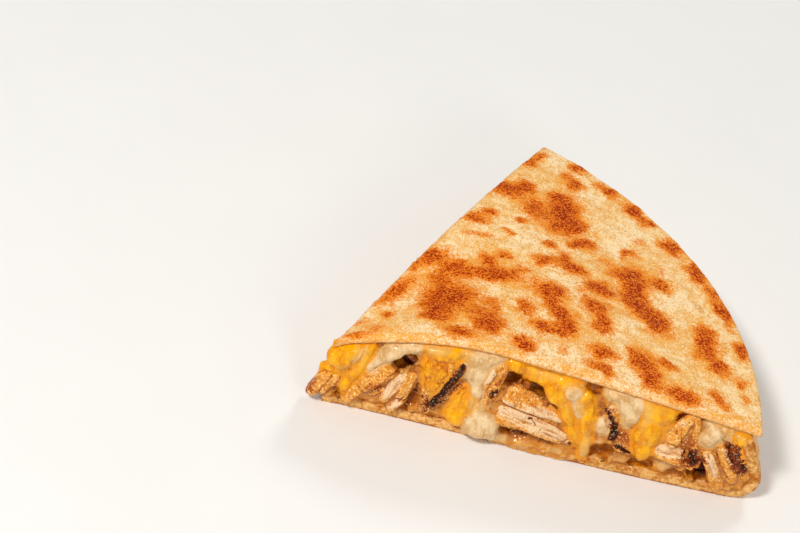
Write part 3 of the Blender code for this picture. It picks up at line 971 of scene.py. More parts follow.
TOAST_SPOTS = listed(Patch, (
    (5, 2, 4, 1.5, 0.6, 10), (13, 11.5, 2, 2, 0.8), (11, 4.5, 2, 1.6, 0.4), (6, 8, 2, 1.5, 0.35),
    (14, 24, 8, 2.6, 0.8, 60), (18, 36, 2.6, 1.8, 0.7, 60), (22, 42, 5, 3.6, 0.95, 30),
    (30, 38, 5, 3.4, 0.9), (42, 38, 8, 3.6, 0.95), (39, 44, 2.4, 3, 0.8), (50, 43, 3, 2, 0.7, 30),
    (44, 47.5, 2.5, 1.8, 0.7), (29, 24, 7, 6.6), (27, 17, 5, 4.6), (26, 12, 4, 2.8, 0.95),
    (26, 33, 3.4, 3, 0.7), (33, 5, 4.5, 2.6, 0.9, -20), (41, 12.5, 4.4, 6, 0.95), (37, 18, 3, 2.2, 0.5, 40),
    (42, 23, 3, 2, 0.5), (43.5, 20, 2, 2, 0.5), (40, 25, 3, 2, 0.35), (53, 5.5, 4, 3, 0.95, -10),
    (52, 24, 2.5, 4, 0.8), (57, 16.5, 3.5, 3, 0.9), (58, 35, 4.5, 4.4, 0.95), (59, 29, 2.6, 3, 0.85),
    (62, 25, 3, 3, 0.9), (64, 20, 3.4, 6, 0.95), (62, 15, 2.6, 2, 0.8), (72, 33, 4, 3.4, 0.95),
    (74, 28, 2.2, 2.6, 0.8), (75, 24, 3, 3.4, 0.85), (68, 39, 2, 2, 0.35), (73.5, 43, 4.4, 3.4, 0.95),
    (65, 49, 4, 2.8, 0.9), (61, 53, 2.5, 3.4, 0.8), (56, 50, 3, 2.8, 0.85), (82, 54, 5.6, 5),
    (84, 45, 3.8, 8), (83, 40, 3.4, 3, 0.9), (88, 39, 3.6, 3.4, 0.9), (92, 34, 3.8, 5.4),
    (92, 53.5, 3, 3.4, 0.95), (81.5, 65.5, 2.5, 2.4, 0.75), (67, 64, 4, 2.8, 0.9), (64, 61.5, 2, 2, 0.7),
    (44, 60.5, 1.8, 1.2, 0.8), (56, 59.5, 2.2, 2, 0.85), (35, 56, 4, 1.5, 0.5), (33, 64, 3.4, 2.4, 0.8),
    (37.5, 68, 2.5, 2, 0.85), (47, 67.5, 2.5, 2, 0.85), (41, 83, 6, 4, 0.95), (47, 87, 3, 4, 0.9),
    (51, 76, 4, 5, 0.8), (60, 78, 5, 9), (58, 70, 4, 3, 0.9), (58, 86, 3, 3, 0.9), (64, 73, 4, 4, 0.9),
    (46, 102, 3, 2.8, 0.85), (50, 106, 3, 1.6, 0.8, 40), (47, 108, 2, 1.6, 0.7), (50, 113, 2, 1.6, 0.6),
    (62, 95, 3, 2.8, 0.85), (60, 99, 2, 1.8, 0.6), (64, 105, 4, 2.4, 0.9, 30), (73, 97, 4, 2.4, 0.9, -40),
    (82, 89, 4, 2.6, 0.95, -45), (87, 85, 2.6, 2, 0.8, -45), (95, 74.5, 3.4, 3.2, 0.95, -45),
    (103, 64.5, 2.6, 5, 0.95, 20), (108, 57, 2.2, 3, 0.8, 20), (112, 48, 2.4, 6, 0.95, 20),
    (118, 33, 2, 3.4, 0.9, 10), (107, 31, 3.4, 7, 1, 10), (111, 22, 3, 3.4, 0.95), (108, 37, 2, 2, 0.4),
    (105, 25, 2.6, 2, 0.6), (118, 18, 1.8, 2, 0.8), (119, 11, 1.4, 1.4, 0.45), (110, 9, 2.4, 2.4, 0.9),
    (113, 6, 1.8, 1.6, 0.7), (95, 16, 3.4, 1.9, 0.8, -20), (88, 13, 3.8, 5, 0.95, 10),
    (91, 7, 3.2, 3.8, 0.95), (85, 18, 2, 2, 0.8), (76, 12, 4.4, 2.8, 0.95), (75.5, 5, 4.4, 2.2, 0.85, -20),
    (100, 4, 4.8, 3.2, 0.95, -10), (64, 8, 2, 1.6, 0.35), (92, 61, 2, 2, 0.35), (74, 58, 2, 2, 0.35),
    (84, 73, 2, 2, 0.35),
))


@dataclass
class TopTortilla:
    """The toasted top sheet, arched over the filling, with a rounded crumb edge at the cuts."""

    form: WedgeForm
    columns: int = 200
    rows: int = 5
    turns: int = 128
    edge_rounding: float = 0.9
    edge_sharpness: int = 20
    cut_rounding: float = 0.7
    shoulder: float = 0.5
    shoulder_width: float = 1.6
    spot_size: float = 0.98
    halo_size: float = 1.45
    # painted shade: how strongly the top turns golden and darker near the front cut, and how far in
    cut_edge_shade: float = 0.6
    edge_shade_reach: float = 7.0
    blister_height: float = 0.28
    bubble_height: float = 0.12
    toast_swell: float = 0.22
    crumb_depth: float = 0.16

    def place(self, along: np.ndarray, side: np.ndarray, height: np.ndarray) -> np.ndarray:
        """The sheet's points for shares of its radius, its angle and its thickness.

        Args:
            along: shares of the length from tip to rim, 0 to 1.
            side: shares of the angle from the front cut to the back one, 0 to 1.
            height: shares of the height from the bottom face to the top one, 0 to 1.

        Returns:
            A point for each share.
        """
        corner = (2 * height - 1) ** 2
        radius = self.form.radius * along - self.edge_rounding * corner * along**self.edge_sharpness
        bearing = side * self.form.angle
        from_cut = radius * np.sin(np.radians(np.minimum(bearing, self.form.angle - bearing)))
        drop = self.shoulder * np.clip(1 - from_cut / self.shoulder_width, 0, 1) ** 2 * height
        top = self.form.top_height(radius, bearing) - drop
        points = polar(radius, bearing, top - self.form.top_sheet * (1 - height))
        return drawn_in(points, radius, bearing, self.cut_rounding * corner * self.form.off_tip(along))

    def build(self, finish: bpy.types.Material) -> bpy.types.Object:
        """Shapes the sheet, toasts it and gives its cut edges their crumb.

        Args:
            finish: the tortilla's material.

        Returns:
            The finished piece.
        """
        skin, shares = shaped_block(wedge_block(self.columns, self.rows, self.turns), self.place)
        upper = shares[:, 2] > 0.99
        points = skin.points
        warp = np.stack([ripple(points, 5.0, 3, seed) * 1.9 + ripple(points, 1.5, 2, seed) * 0.8
                         for seed in (1.0, 2.0)], axis=1)
        toast = painted(points[:, :2], TOAST_SPOTS, warp, self.spot_size)
        halo = painted(points[:, :2], TOAST_SPOTS, warp, self.halo_size)
        # painted shade: the halo's golden colour also spreads along the front cut
        halo = np.maximum(halo, self.cut_edge_shade * ease(self.edge_shade_reach, 0.5, points[:, 1] + warp[:, 1]))
        edge = at_cuts(shares[:, 1])
        crumb = np.where(edge, ease(0.85, 0.1, shares[:, 2]), 0.0)
        blister = self.blister_height * ripple(points, 6.0, 2, 3.0)
        blister = blister + self.bubble_height * ripple(points, 1.8, 2, 4.0)
        relief = np.where(upper, blister + self.toast_swell * toast, 0.5 * blister)
        skin.push(relief + np.where(edge, self.crumb_depth, 0.0) * ripple(points, 0.9, 2, 5.0))
        skin.mark("toast", np.where(upper, toast, 0.15))
        skin.mark("halo", np.where(upper, halo, 0.3))
        skin.mark("crumb", np.where(shares[:, 2] < 0.01, 1.0, crumb))
        skin.mark("stain", np.zeros(len(points)))
        return serve(skin, "toasted_top", finish, Food.TORTILLA, "tortilla_top")


@dataclass
class BottomTortilla:
    """The bottom sheet, whose rim curls up round the arc and leans in to close the pocket."""

    form: WedgeForm
    curl_start: float = 122.0
    curl_radius: float = 6.2
    curl_turn: float = 114.0
    curl_length: float = 14.0
    ruffle_reach: float = 6.0
    ruffle_bearing: float = 36.0
    ruffle_spread: float = 9.0
    front_bow: float = 1.8
    bow_start: float = 20.0
    flat_share: float = 0.8
    columns: int = 240
    rows: int = 6
    turns: int = 90
    cut_rounding: float = 0.5
    lip_start: float = 0.985
    lump_height: float = 0.3
    bubble_height: float = 0.1
    crumble_depth: float = 0.28
    soaked_from: tuple[float, float] = (44.0, 56.0)
    soaked_to: tuple[float, float] = (86.0, 72.0)

    def place(self, along: np.ndarray, side: np.ndarray, height: np.ndarray) -> np.ndarray:
        """The sheet's points for shares of its length, its angle and its thickness.

        Args:
            along: shares of the length from tip to rim, 0 to 1.
            side: shares of the angle from the front cut to the back one, 0 to 1.
            height: shares of the height from the bottom face to the top one, 0 to 1.

        Returns:
            A point for each share.
        """
        curl = self.curl_radius * math.radians(self.curl_turn) + self.curl_length
        past = np.clip((along - self.flat_share) / (1 - self.flat_share), 0, 1) * curl
        turned = np.clip(past / self.curl_radius, 0, math.radians(self.curl_turn))
        straight = past - self.curl_radius * turned
        flat = self.curl_start * np.clip(along / self.flat_share, 0, 1)
        radius = flat + self.curl_radius * np.sin(turned) + straight * np.cos(turned)
        middle = self.form.bottom_sheet / 2 + self.curl_radius * (1 - np.cos(turned))
        middle = middle + straight * np.sin(turned)
        end = 1 - 0.5 * np.clip((along - self.lip_start) / (1 - self.lip_start), 0, 1) ** 2
        thick = self.form.bottom_sheet * (height - 0.5) * end
        radius = radius - thick * np.sin(turned)
        bearing = side * self.form.angle
        ruffle = np.exp(-(((bearing - self.ruffle_bearing) / self.ruffle_spread) ** 2))
        radius = radius + self.ruffle_reach * ruffle * np.clip(middle / self.form.tip_height, 0, 1) ** 2
        points = polar(radius, bearing, middle + thick * np.cos(turned))
        share = (radius - self.bow_start) / (self.form.radius - self.bow_start)
        bow = self.front_bow * np.clip(np.sin(math.pi * share), 0, None)
        points[:, 1] -= bow * np.clip(radius / self.form.radius, 0, 1) * (1 - side)
        rounding = self.cut_rounding * (2 * height - 1) ** 2 * self.form.off_tip(along)
        return drawn_in(points, radius, bearing, rounding)

    def build(self, finish: bpy.types.Material) -> bpy.types.Object:
        """Shapes the sheet, browns its underside and rim, and soaks its cut edge in sauce.

        Args:
            finish: the tortilla's material.

        Returns:
            The finished piece.
        """
        skin, shares = shaped_block(wedge_block(self.columns, self.rows, self.turns), self.place)
        points = skin.points
        along, side, height = shares.T
        outer = height < 0.01
        edge = at_cuts(side)
        lumps = self.lump_height * ripple(points, 5.0, 2, 6.0)
        lumps = lumps + self.bubble_height * ripple(points, 1.6, 2, 7.0)
        rim = ease(0.8, 0.9, along)
        crumble = np.where(edge, self.crumble_depth * ripple(points, 1.1, 3, 8.0), 0.0)
        rest = ease(0.0, 1.5, points[:, 2])
        skin.push(crumble * np.clip(rest + 0.3, 0, 1) + np.where(outer, lumps * rim, 0.0))
        skin.points[:, 2] = np.maximum(skin.points[:, 2], 0.0)
        browned = ease(0.0, 0.5, ripple(points, 11.0, 3, 9.0)) * np.where(outer, 0.9, 0.0)
        skin.mark("toast", browned * (1 - 0.5 * rim) + 0.12)
        skin.mark("halo", browned)
        skin.mark("crumb", np.where(edge, 1.0, np.where(outer, 0.0, 0.6)))
        radius = np.hypot(points[:, 0], points[:, 1])
        soaked = ease(*self.soaked_from, radius) * ease(*self.soaked_to, radius)
        soak = 0.3 + 0.25 * soaked + 0.3 * ease(1.0, 3.2, points[:, 2])
        soak = soak + 0.5 * ripple(points, 4.0, 3, 10.0)
        # the lowest millimetre of the cut edge is darker, in the sauce colour
        soak += 0.5 * ease(1.2, 0.2, points[:, 2])
        soak = np.where(edge, soak, 0.0)
        skin.mark("stain", soak * ease(-0.3, 0.2, soak) * 0.8)
        return serve(skin, "curled_bottom", finish, Food.TORTILLA, "tortilla_bottom")


class Lay(NamedTuple):
    """How a length of food lies on a cut, in millimetres and degrees.

    Its ends show at (x0, z0) and (x1, z1) and are w0 and w1 wide. It lies at a depth behind the cut,
    leans back from it, and bows sideways between its ends.
    """

    x0: float
    z0: float
    x1: float
    z1: float
    w0: float
    w1: float
    depth: float = 0.7
    thick: float = 5.0
    lean: float = 30.0
    bow: float = 0.0


def shown_at(x: float, z: float, depth: float) -> np.ndarray:
    """The point at a depth that shows at a place on a cut seen from outside and above."""
    return np.array((x, depth, z - SIGHT_SLOPE * depth))


@dataclass(frozen=True)
class Limb:
    """A tapering length of food between two ends, with a broad side that faces outward."""

    start: np.ndarray
    end: np.ndarray
    across: np.ndarray
    facing: np.ndarray
    widths: tuple[float, float]
    thick: float
    bow: float = 0.0

    @classmethod
    def from_lay(cls, lay: Lay, form: WedgeForm, side: Side) -> "Limb":
        """A limb as it lies on a cut.

        Args:
            lay: how it lies.
            form: the wedge's form.
            side: which cut.

        Returns:
            The limb, in the wedge's frame.
        """
        start, end = shown_at(lay.x0, lay.z0, lay.depth), shown_at(lay.x1, lay.z1, lay.depth)
        axis = (end - start) / np.linalg.norm(end - start)
        lean = math.radians(lay.lean)
        facing = np.array((0.0, -math.cos(lean), math.sin(lean)))
        across = np.cross(facing, axis)
        across /= np.linalg.norm(across)
        facing = np.cross(axis, across)
        start, end, across, facing = form.on_cut(np.array((start, end, across, facing)), side)
        return cls(start, end, across, facing, (lay.w0, lay.w1), lay.thick, lay.bow)

    def bowed(self, share: np.ndarray) -> np.ndarray:
        """How far the middle line lies sideways at a share of the length."""
        return 4 * self.bow * share * (1 - share)

    def width(self, share: np.ndarray) -> np.ndarray:
        """The width at a share of the length."""
        return self.widths[0] + (self.widths[1] - self.widths[0]) * share

    def local(self, points: np.ndarray) -> np.ndarray:
        """Where points lie on the limb: along, across and out, each from -1 to 1 inside it.

        Args:
            points: the points, as (n, 3).

        Returns:
            The places, as (n, 3).
        """
        axis = self.end - self.start
        share = (points - self.start) @ axis / (axis @ axis)
        middle = self.start + share[:, None] * axis
        aside = points - (middle + self.bowed(share)[:, None] * self.across)
        across = 2 * aside @ self.across / self.width(np.clip(share, 0, 1))
        return np.stack([2 * share - 1, across, 2 * aside @ self.facing / self.thick], axis=1)

    def grain_places(self, points: np.ndarray) -> np.ndarray:
        """Places in millimetres along, across and out, to draw fibres on.

        Args:
            points: the points, as (n, 3).

        Returns:
            The places, as (n, 3).
        """
        length = np.linalg.norm(self.end - self.start)
        mean = sum(self.widths) / 2
        return self.local(points) * np.array((length, mean, self.thick)) / 2 + self.start

    def add_to(self, bundle: bmesh.types.BMesh, square: float, roughness: float, seed: float) -> None:
        """Adds the limb's body to a bundle.

        Args:
            bundle: what it is added to.
            square: 2 for a round section, more for a squarer one with blunter ends.
            roughness: how far its surface wanders, in millimetres.
            seed: its own pattern of wandering.
        """
        body = bmesh.new()
        bmesh.ops.create_cube(body, size=2)
        bmesh.ops.subdivide_edges(body, edges=body.edges, cuts=9, use_grid_fill=True)
        raw = np.array([point.co for point in body.verts])
        raw /= (np.abs(raw) ** square).sum(axis=1, keepdims=True) ** (1 / square)
        share = (raw[:, 0] + 1) / 2
        width = self.width(share)
        thick = self.thick * (0.55 + 0.45 * width / max(self.widths))
        places = self.start + share[:, None] * (self.end - self.start)
        places += (raw[:, 1] * width / 2 + self.bowed(share))[:, None] * self.across
        places += (raw[:, 2] * thick / 2)[:, None] * self.facing
        places += wander(places, 3.6, roughness, seed)
        for point, target in zip(body.verts, places.tolist()):
            point.co = target
        bmesh.ops.recalc_face_normals(body, faces=body.faces)
        mesh = mesh_of(body)
        bundle.from_mesh(mesh)
        bpy.data.meshes.remove(mesh)


FRONT_LAYS = {
    "chicken_tip_strip": ((-3.8, 2.6, 0.4, 13.6, 3, 3.6, 0.4), (-1, 3.6, 3.6, 13.6, 2.6, 3.2, 0.8)),
    "chicken_strip_1": (
        (6, 3.4, 10.4, 10.6, 3.2, 5.2, 0.4), (9.2, 9, 18.2, 20.2, 5.4, 5.8, 0.5),
        (12.6, 8.2, 17, 13.2, 3, 3.4, 1.6),
    ),
    "chicken_strip_2": ((17.4, 6.2, 21.2, 18.6, 3.4, 3.6, 0.4),),
    "chicken_strip_3": ((21.6, 8.4, 23.6, 20, 4, 5, 0.8), (19.4, 3.8, 23, 9.4, 2.8, 3.6, 0.3)),
    "chicken_chunk_1": ((29.3, 4.8, 32.6, 28, 3, 10.6, 0.9), (29.8, 5.4, 37.6, 27.6, 2.8, 3.4, 0, 4.2)),
    "chicken_strip_9": ((33.8, 10.4, 38.2, 21, 2.6, 3.6, 1.6),),
    "chicken_strip_4": ((45.8, 13.6, 48.6, 31.6, 3.4, 3.8, 0.8), (44.9, 20.4, 46.4, 28.6, 2, 2.4, 0.4)),
    "chicken_chunk_2": (
        (50.6, 20.6, 69.4, 15.2, 7.6, 2.8, 1.6, 7, 45), (49.8, 13.4, 72.2, 8.3, 8.4, 5, 0.4, 6, 10),
        (66, 11, 73.8, 6.9, 4.6, 2.6, 0.9),
    ),
    "chicken_chunk_3": (
        (80.2, 26, 85, 16.5, 3.6, 6.2, 1.1), (84.4, 17.5, 89.8, 9.3, 6.2, 2.8, 0.8),
        (83.7, 17.4, 84, 11.2, 2.2, 2.8, -0.6, 4), (85.4, 10.2, 90.8, 8.5, 1.8, 1.8, 0, 4),
    ),
    "chicken_strip_5": ((99.6, 16.4, 104.6, 28.2, 6.6, 1.8, 0.9),),
    "chicken_strip_6": ((107.5, 14.8, 105.8, 28.4, 3.2, 1.8, 0.9), (103.9, 15.2, 105, 23.6, 3, 1.8, 1.6)),
    "chicken_chunk_4": (
        (96.9, 12.4, 106.8, 12, 6.2, 5.4, 0.4), (106.2, 12, 109.6, 11.2, 6.6, 5.8, -0.1),
        (110, 9.6, 110.1, 13.8, 1.6, 1.6, 0.2, 3),
    ),
    "chicken_strip_7": ((118.9, 2.6, 111, 17.4, 3.8, 4.6, 0.2),),
    "chicken_strip_8": ((122.2, 6.8, 113.8, 21.4, 3.8, 3.4, 0.8),),
    "chicken_chunk_5": (
        (123.4, 11.2, 118.6, 22.8, 4.2, 5.4, 2.1), (124.3, 11.8, 122.2, 15.6, 1.6, 1.8, 1.2, 3),
    ),
    "white_cheese_pull": (
        (43.8, 12.4, 42.6, 20.6, 1.6, 4.2, 0, 3.4), (42.4, 19.6, 41.6, 27.6, 4.4, 7.2, 0.4, 4),
        (41.4, 26, 41, 36, 7.4, 12.6, 1, 4.4), (43.6, 31, 48.6, 35, 4, 4, 1.4, 4),
    ),
    "white_cheese_drip": (
        (46.6, 1.2, 45.8, 9.8, 9.8, 7, -1.5), (50.8, 1.4, 48.6, 9.4, 4.4, 3.4, -0.9, 4.4),
        (42.4, 2.2, 44.6, 11.6, 3.4, 3.8, -1, 4.4), (44.6, 8, 43.6, 14.6, 4.6, 2.2, -0.5, 3.6),
    ),
    "white_cheese_strip": (
        (68.4, 28.8, 70.8, 23.8, 5, 5, 0.5, 3.6), (70.4, 25, 74, 17, 4.8, 1.8, 0.3, 3.2),
    ),
    "white_cheese_bead": ((80, 13.8, 80.3, 19.8, 4.4, 4, 0.1, 4), (80.6, 18, 82.4, 21.8, 3, 2, 0.3, 3.6)),
    "white_cheese_sheet": (
        (87.4, 18.6, 87.8, 24.6, 2.2, 5.6, 0.3, 3.6), (87.8, 23, 87, 29, 6, 10.4, 0.8, 4),
        (86.6, 27.6, 85.4, 33.6, 10.6, 16.4, 1.6, 4.4),
    ),
    "white_cheese_blob": (
        (110.4, 18.9, 111, 22.6, 3.8, 4.6, 0.1, 4), (111, 22, 113, 25.6, 4.6, 4.4, 0.9, 4),
        (112.6, 24.4, 117.2, 22.4, 3.2, 2.6, 1.9, 3.6), (108, 27.6, 118.6, 25.8, 3, 3.4, 2.8, 4),
    ),
    "white_cheese_strand": (
        (10.8, 16.4, 14, 22.6, 1.6, 3.8, 0.2, 3.4), (13.4, 21.6, 19.4, 27.8, 4.2, 4.6, 0.6, 3.8),
        (18, 27.2, 26, 31, 4.4, 3.6, 1.1, 3.8), (24, 30.8, 33, 32.6, 4, 4.6, 1.4, 3.8),
        (5.9, 16, 8.6, 25.4, 1.3, 1.9, 0, 3),
    ),
    "cheddar_tip": (
        (0.6, 15.4, 3.4, 21, 6, 8.4, 0.1, 4.4), (3, 19.6, 4.8, 26.4, 8.6, 9, 0.6, 4.4),
        (-2, 13.8, 5.8, 14.2, 2.6, 2.6, 0.3, 3.6), (-1.4, 14.8, -2.4, 10.4, 2, 1.4, 0.3, 3),
    ),
    "cheddar_tip_strand": (
        (10, 27, 9, 17.4, 3.2, 2.4, 0.5, 3.6), (9.2, 18.4, 6.6, 11.2, 2.4, 3.4, 0.2, 3.6),
        (6.8, 12, 5.2, 7.6, 3.4, 3.4, 0.1, 3.6), (5.4, 9, 6.2, 4.4, 2.8, 1.6, 0, 3),
    ),
    "cheddar_fold_1": (
        (29.6, 13.6, 30, 19.4, 3, 5.6, -0.2, 4), (30, 18, 30.2, 26, 5.8, 8.2, 0.1, 4.2),
        (30.4, 24.6, 31.4, 35.6, 8.2, 14, 0.9, 4.6), (23.6, 33.4, 30.6, 33, 3.4, 5, 1.4, 4),
    ),
    "cheddar_drip_1": (
        (37.8, 4, 40.6, 9.4, 5.6, 6.4, -0.4, 3.8), (40.2, 8.4, 42.6, 16.6, 6, 2.8, -0.3, 3.6),
        (36.6, 7.4, 39.6, 19.6, 2.6, 2, 0.4, 3.4),
    ),
    "cheddar_fold_2": (
        (57.6, 29.8, 67, 28.4, 4.6, 7.6, 2.2, 4.6), (65, 30.2, 72, 29.6, 6.6, 4.4, 2.2, 4.4),
        (62.2, 27.2, 67.6, 21, 6, 4.2, 0.5, 4), (67.2, 21.8, 71.8, 13.6, 3.8, 2.6, 0.3, 3.8),
        (71.4, 14.6, 75, 6.8, 2.6, 2, 0.3, 3.4), (72.6, 27.4, 75.8, 18.6, 4, 4.8, 0.6, 4),
    ),
    "cheddar_drip_2": ((75.4, 20.4, 77, 11, 4.6, 3.4, 0.1, 4), (76.9, 12, 77.9, 2.8, 3.2, 3, 0, 3.6)),
    "cheddar_drip_3": (
        (94.4, 6.6, 93.2, 14.4, 2.8, 7, -0.1, 4.2), (93.2, 12.8, 93.8, 22.4, 7.4, 8.4, 0.1, 4.6),
        (93.6, 21, 95.6, 31.6, 8.4, 11.4, 0.9, 4.6),
    ),
    "cheddar_fold_3": ((48.4, 32.6, 55, 31, 4, 5.4, 2.4, 4.4), (53.6, 31.2, 60.6, 29.4, 5, 5.6, 2.8, 4.4)),
    "cheddar_rim": ((119, 26.4, 121.6, 21.4, 4.6, 3.2, 2.4), (121.2, 22.4, 123.6, 16.4, 3.2, 1.8, 2, 3.6)),
}
BACK_LAYS = {
    "back_cheddar_1": (
        (17, 26.4, 28.6, 27, 4.2, 4.8, 2.2, 4.6), (22.6, 27.8, 22, 18.6, 9, 6.2, 0.9, 4.4),
        (22, 20.6, 24.2, 11.6, 6, 4.2, 0.3, 4), (23.8, 13.6, 26.6, 5.6, 4.2, 2.8, 0, 3.6),
        (27.6, 27, 28.2, 21.4, 3.2, 2, 1.1, 3.4),
    ),
    "back_white_cheese_1": (
        (40, 28.6, 53, 28.2, 4.4, 4, 2.2, 4.4), (46.2, 29.8, 44.6, 18.6, 11.4, 6.6, 0.9, 4.4),
        (44.8, 21.4, 43, 12, 6.2, 4.2, 0.2, 4), (50.6, 28.4, 51.2, 20.8, 4, 2.2, 1, 3.6),
    ),
    "back_cheddar_2": (
        (61.6, 28.6, 77, 28.4, 4.6, 4.8, 2.2, 4.6), (70.2, 29.8, 71.2, 16.6, 12.4, 7, 0.8, 4.6),
        (71, 19.6, 73.2, 9, 6.8, 4.6, 0, 4.2), (73, 11.6, 74.6, 3, 4.6, 3.8, -0.4, 4),
        (65.6, 28.4, 64.4, 18.8, 4.8, 2.4, 0.9, 3.8),
    ),
    "back_white_cheese_2": (
        (85, 28.6, 99.6, 27.8, 4.4, 4.2, 2.2, 4.4), (93.2, 29.4, 91, 18, 10.4, 5.8, 0.9, 4.4),
        (91.2, 20.8, 89.2, 10.6, 5.6, 3.4, 0.2, 4), (97.4, 27.8, 98.2, 21.6, 3.4, 2, 1, 3.4),
    ),
    "back_cheddar_3": (
        (100, 26.8, 113.4, 26, 4, 4.2, 2.2, 4.4), (106.2, 28, 107.2, 18, 9.6, 5.6, 0.9, 4.4),
        (107.2, 20.6, 109, 12.4, 5.4, 3.4, 0.3, 4), (101.8, 26.8, 101.2, 21, 3.6, 2.2, 1.2, 3.6),
    ),
    "back_chicken_1": ((11.8, 5.2, 17.6, 19.8, 5.2, 6.6, 0.6),),
    "back_chicken_2": ((20.2, 5.6, 35, 17.4, 6, 8.2, 0.6), (25, 4.4, 35, 9.6, 4, 4.8, 0.9)),
    "back_chicken_3": ((29, 24.6, 40.4, 16.6, 6.2, 5.4, 1.5),),
    "back_chicken_4": ((37.2, 7.8, 58.2, 10.8, 8.6, 7.6, 0.3), (39.4, 14.2, 56, 15.8, 5.2, 4.2, 1.1)),
    "back_chicken_5": ((52, 17.8, 62.8, 26.4, 6.2, 6.2, 1.4),),
    "back_chicken_6": ((66.6, 4.6, 60, 18.6, 5.2, 6, 0.4),),
    "back_chicken_7": ((77, 9.2, 89.4, 10.2, 9, 8, 0.8), (78.4, 15.4, 87.6, 14.8, 4.6, 4.6, 1.2)),
    "back_chicken_8": ((78.8, 23, 90.2, 19.6, 6.6, 6.4, 1.5),),
    "back_chicken_9": ((95.2, 4.4, 101.8, 21.4, 5.4, 7, 0.5), (99, 5.4, 103.6, 13.6, 3.6, 4, 0.8)),
    "back_chicken_10": ((104.2, 4.8, 114.8, 17.8, 5.8, 7, 0.6), (110, 5.2, 115.6, 10.6, 3.6, 4.2, 0.9)),
    "back_chicken_11": ((119.6, 7.8, 114.6, 23.6, 5.6, 6.6, 1.2),),
}
SCRAP_LAYS = listed(Lay, (
    (10.8, 5.6, 13.6, 7.8, 3, 3.4, 1.6), (14, 4.8, 16.2, 7, 2.6, 2.8, 1.4), (0.6, 3, 3.4, 4.2, 2, 2, 1),
    (25.6, 4.6, 27.4, 6.6, 2, 1.8, 1.4), (33.6, 6, 35.8, 8.2, 2.2, 2.4, 1),
    (45, 12.6, 48.6, 12, 2.4, 2.2, -0.2), (49.2, 8.6, 51.8, 6.4, 2, 2.4, 0.2),
    (50.4, 2.6, 57.6, 2.2, 4.4, 4.8, 0.5), (56, 2.4, 63.8, 2.6, 4.6, 5, 0.5),
    (62.6, 2.4, 70, 2.6, 4.8, 4.4, 0.5), (68.6, 2.8, 75.4, 3.6, 4.6, 4.4, 0.6),
    (69.6, 4.2, 72.6, 5.4, 2, 2, 0.2), (84.6, 4.6, 87.4, 3.6, 3, 2.8, 0.3),
    (88, 5.2, 91.2, 4.4, 2.2, 2.4, 0.5), (79.4, 10.8, 83, 10.4, 2, 2.2, 0.6),
    (98, 6.6, 102.8, 5.6, 3.4, 3.6, 0.6), (104, 7.2, 107.4, 6.8, 2, 2.2, 0.2),
    (107.6, 4.2, 110.8, 3.8, 2, 2, 0.4), (119.8, 3.6, 122.6, 4.6, 2.4, 2.6, 0.8),
    (123.4, 5, 126, 6.2, 2.4, 2.6, 1.2), (125.4, 8.4, 126.4, 11, 1.8, 1.8, 1.8),
    (114.6, 22.8, 116.6, 20.6, 1.8, 2, 0.8), (109.4, 17.6, 112.6, 17, 1.6, 1.8),
    (53.6, 27.6, 55.4, 26.4, 1.8, 2, 3.6), (77.6, 26.8, 79.6, 24.6, 2, 2.2, 0.9),
    (76.8, 29.6, 80.6, 28.2, 3.2, 3, 1.8), (68.6, 31.2, 73, 30.6, 2.8, 2.6, 1.8),
    (23.6, 22.4, 25.8, 27, 2.2, 2.6, 1.6), (96.8, 24.6, 98.8, 20.6, 2, 2.4, 1),
    (46.2, 17.4, 47.6, 14.6, 2.2, 2.4, 0.2), (24.8, 12, 25.6, 17.6, 1.4, 1.6, 2),
    (116.4, 24.6, 118.4, 20.4, 1.8, 2.2, 2),
))
SCRAP_START = 5.0
SCRAP_END = 118.0
SCRAP_SPAN = 124.0
# Pale torn meat. The patch at (114.2, 10.6), on chicken_strip_7, is pale meat enlarged to lighten the strip
# where it faces the light: partly painted light.
PALE_MEAT_AND_PAINTED_LIGHT = listed(Patch, (
    (18.9, 11.5, 6.2, 1.7, 1, 71), (21.2, 6.2, 3.6, 1.6, 1, 60), (21, 15.6, 3.4, 0.9, 0.7, 80),
    (45.6, 24.6, 4.4, 1.2, 1, 76), (60.5, 11.2, 12.5, 3.7, 1, -12), (63.5, 15.6, 6.4, 1.6, 1, -11),
    (52, 14.4, 3.4, 2.4, 0.9, -10), (68, 9.2, 4.6, 2.6, 0.9, -18), (100.6, 12.3, 5.4, 2.8, 1, -2),
    (102.4, 24, 4.4, 0.9, 0.6, 54), (114.2, 10.6, 6, 1.5, 0.9, -62), (116.6, 16.6, 5.4, 0.9, 0.6, -58),
    (13.4, 16, 5, 0.9, 0.5, 50), (-1.4, 8.4, 4.6, 0.6, 0.35, 66), (81.6, 23.4, 2, 1.2, 0.7, -40),
    (55.6, 21, 5.4, 1.4, 0.45, -8),
))
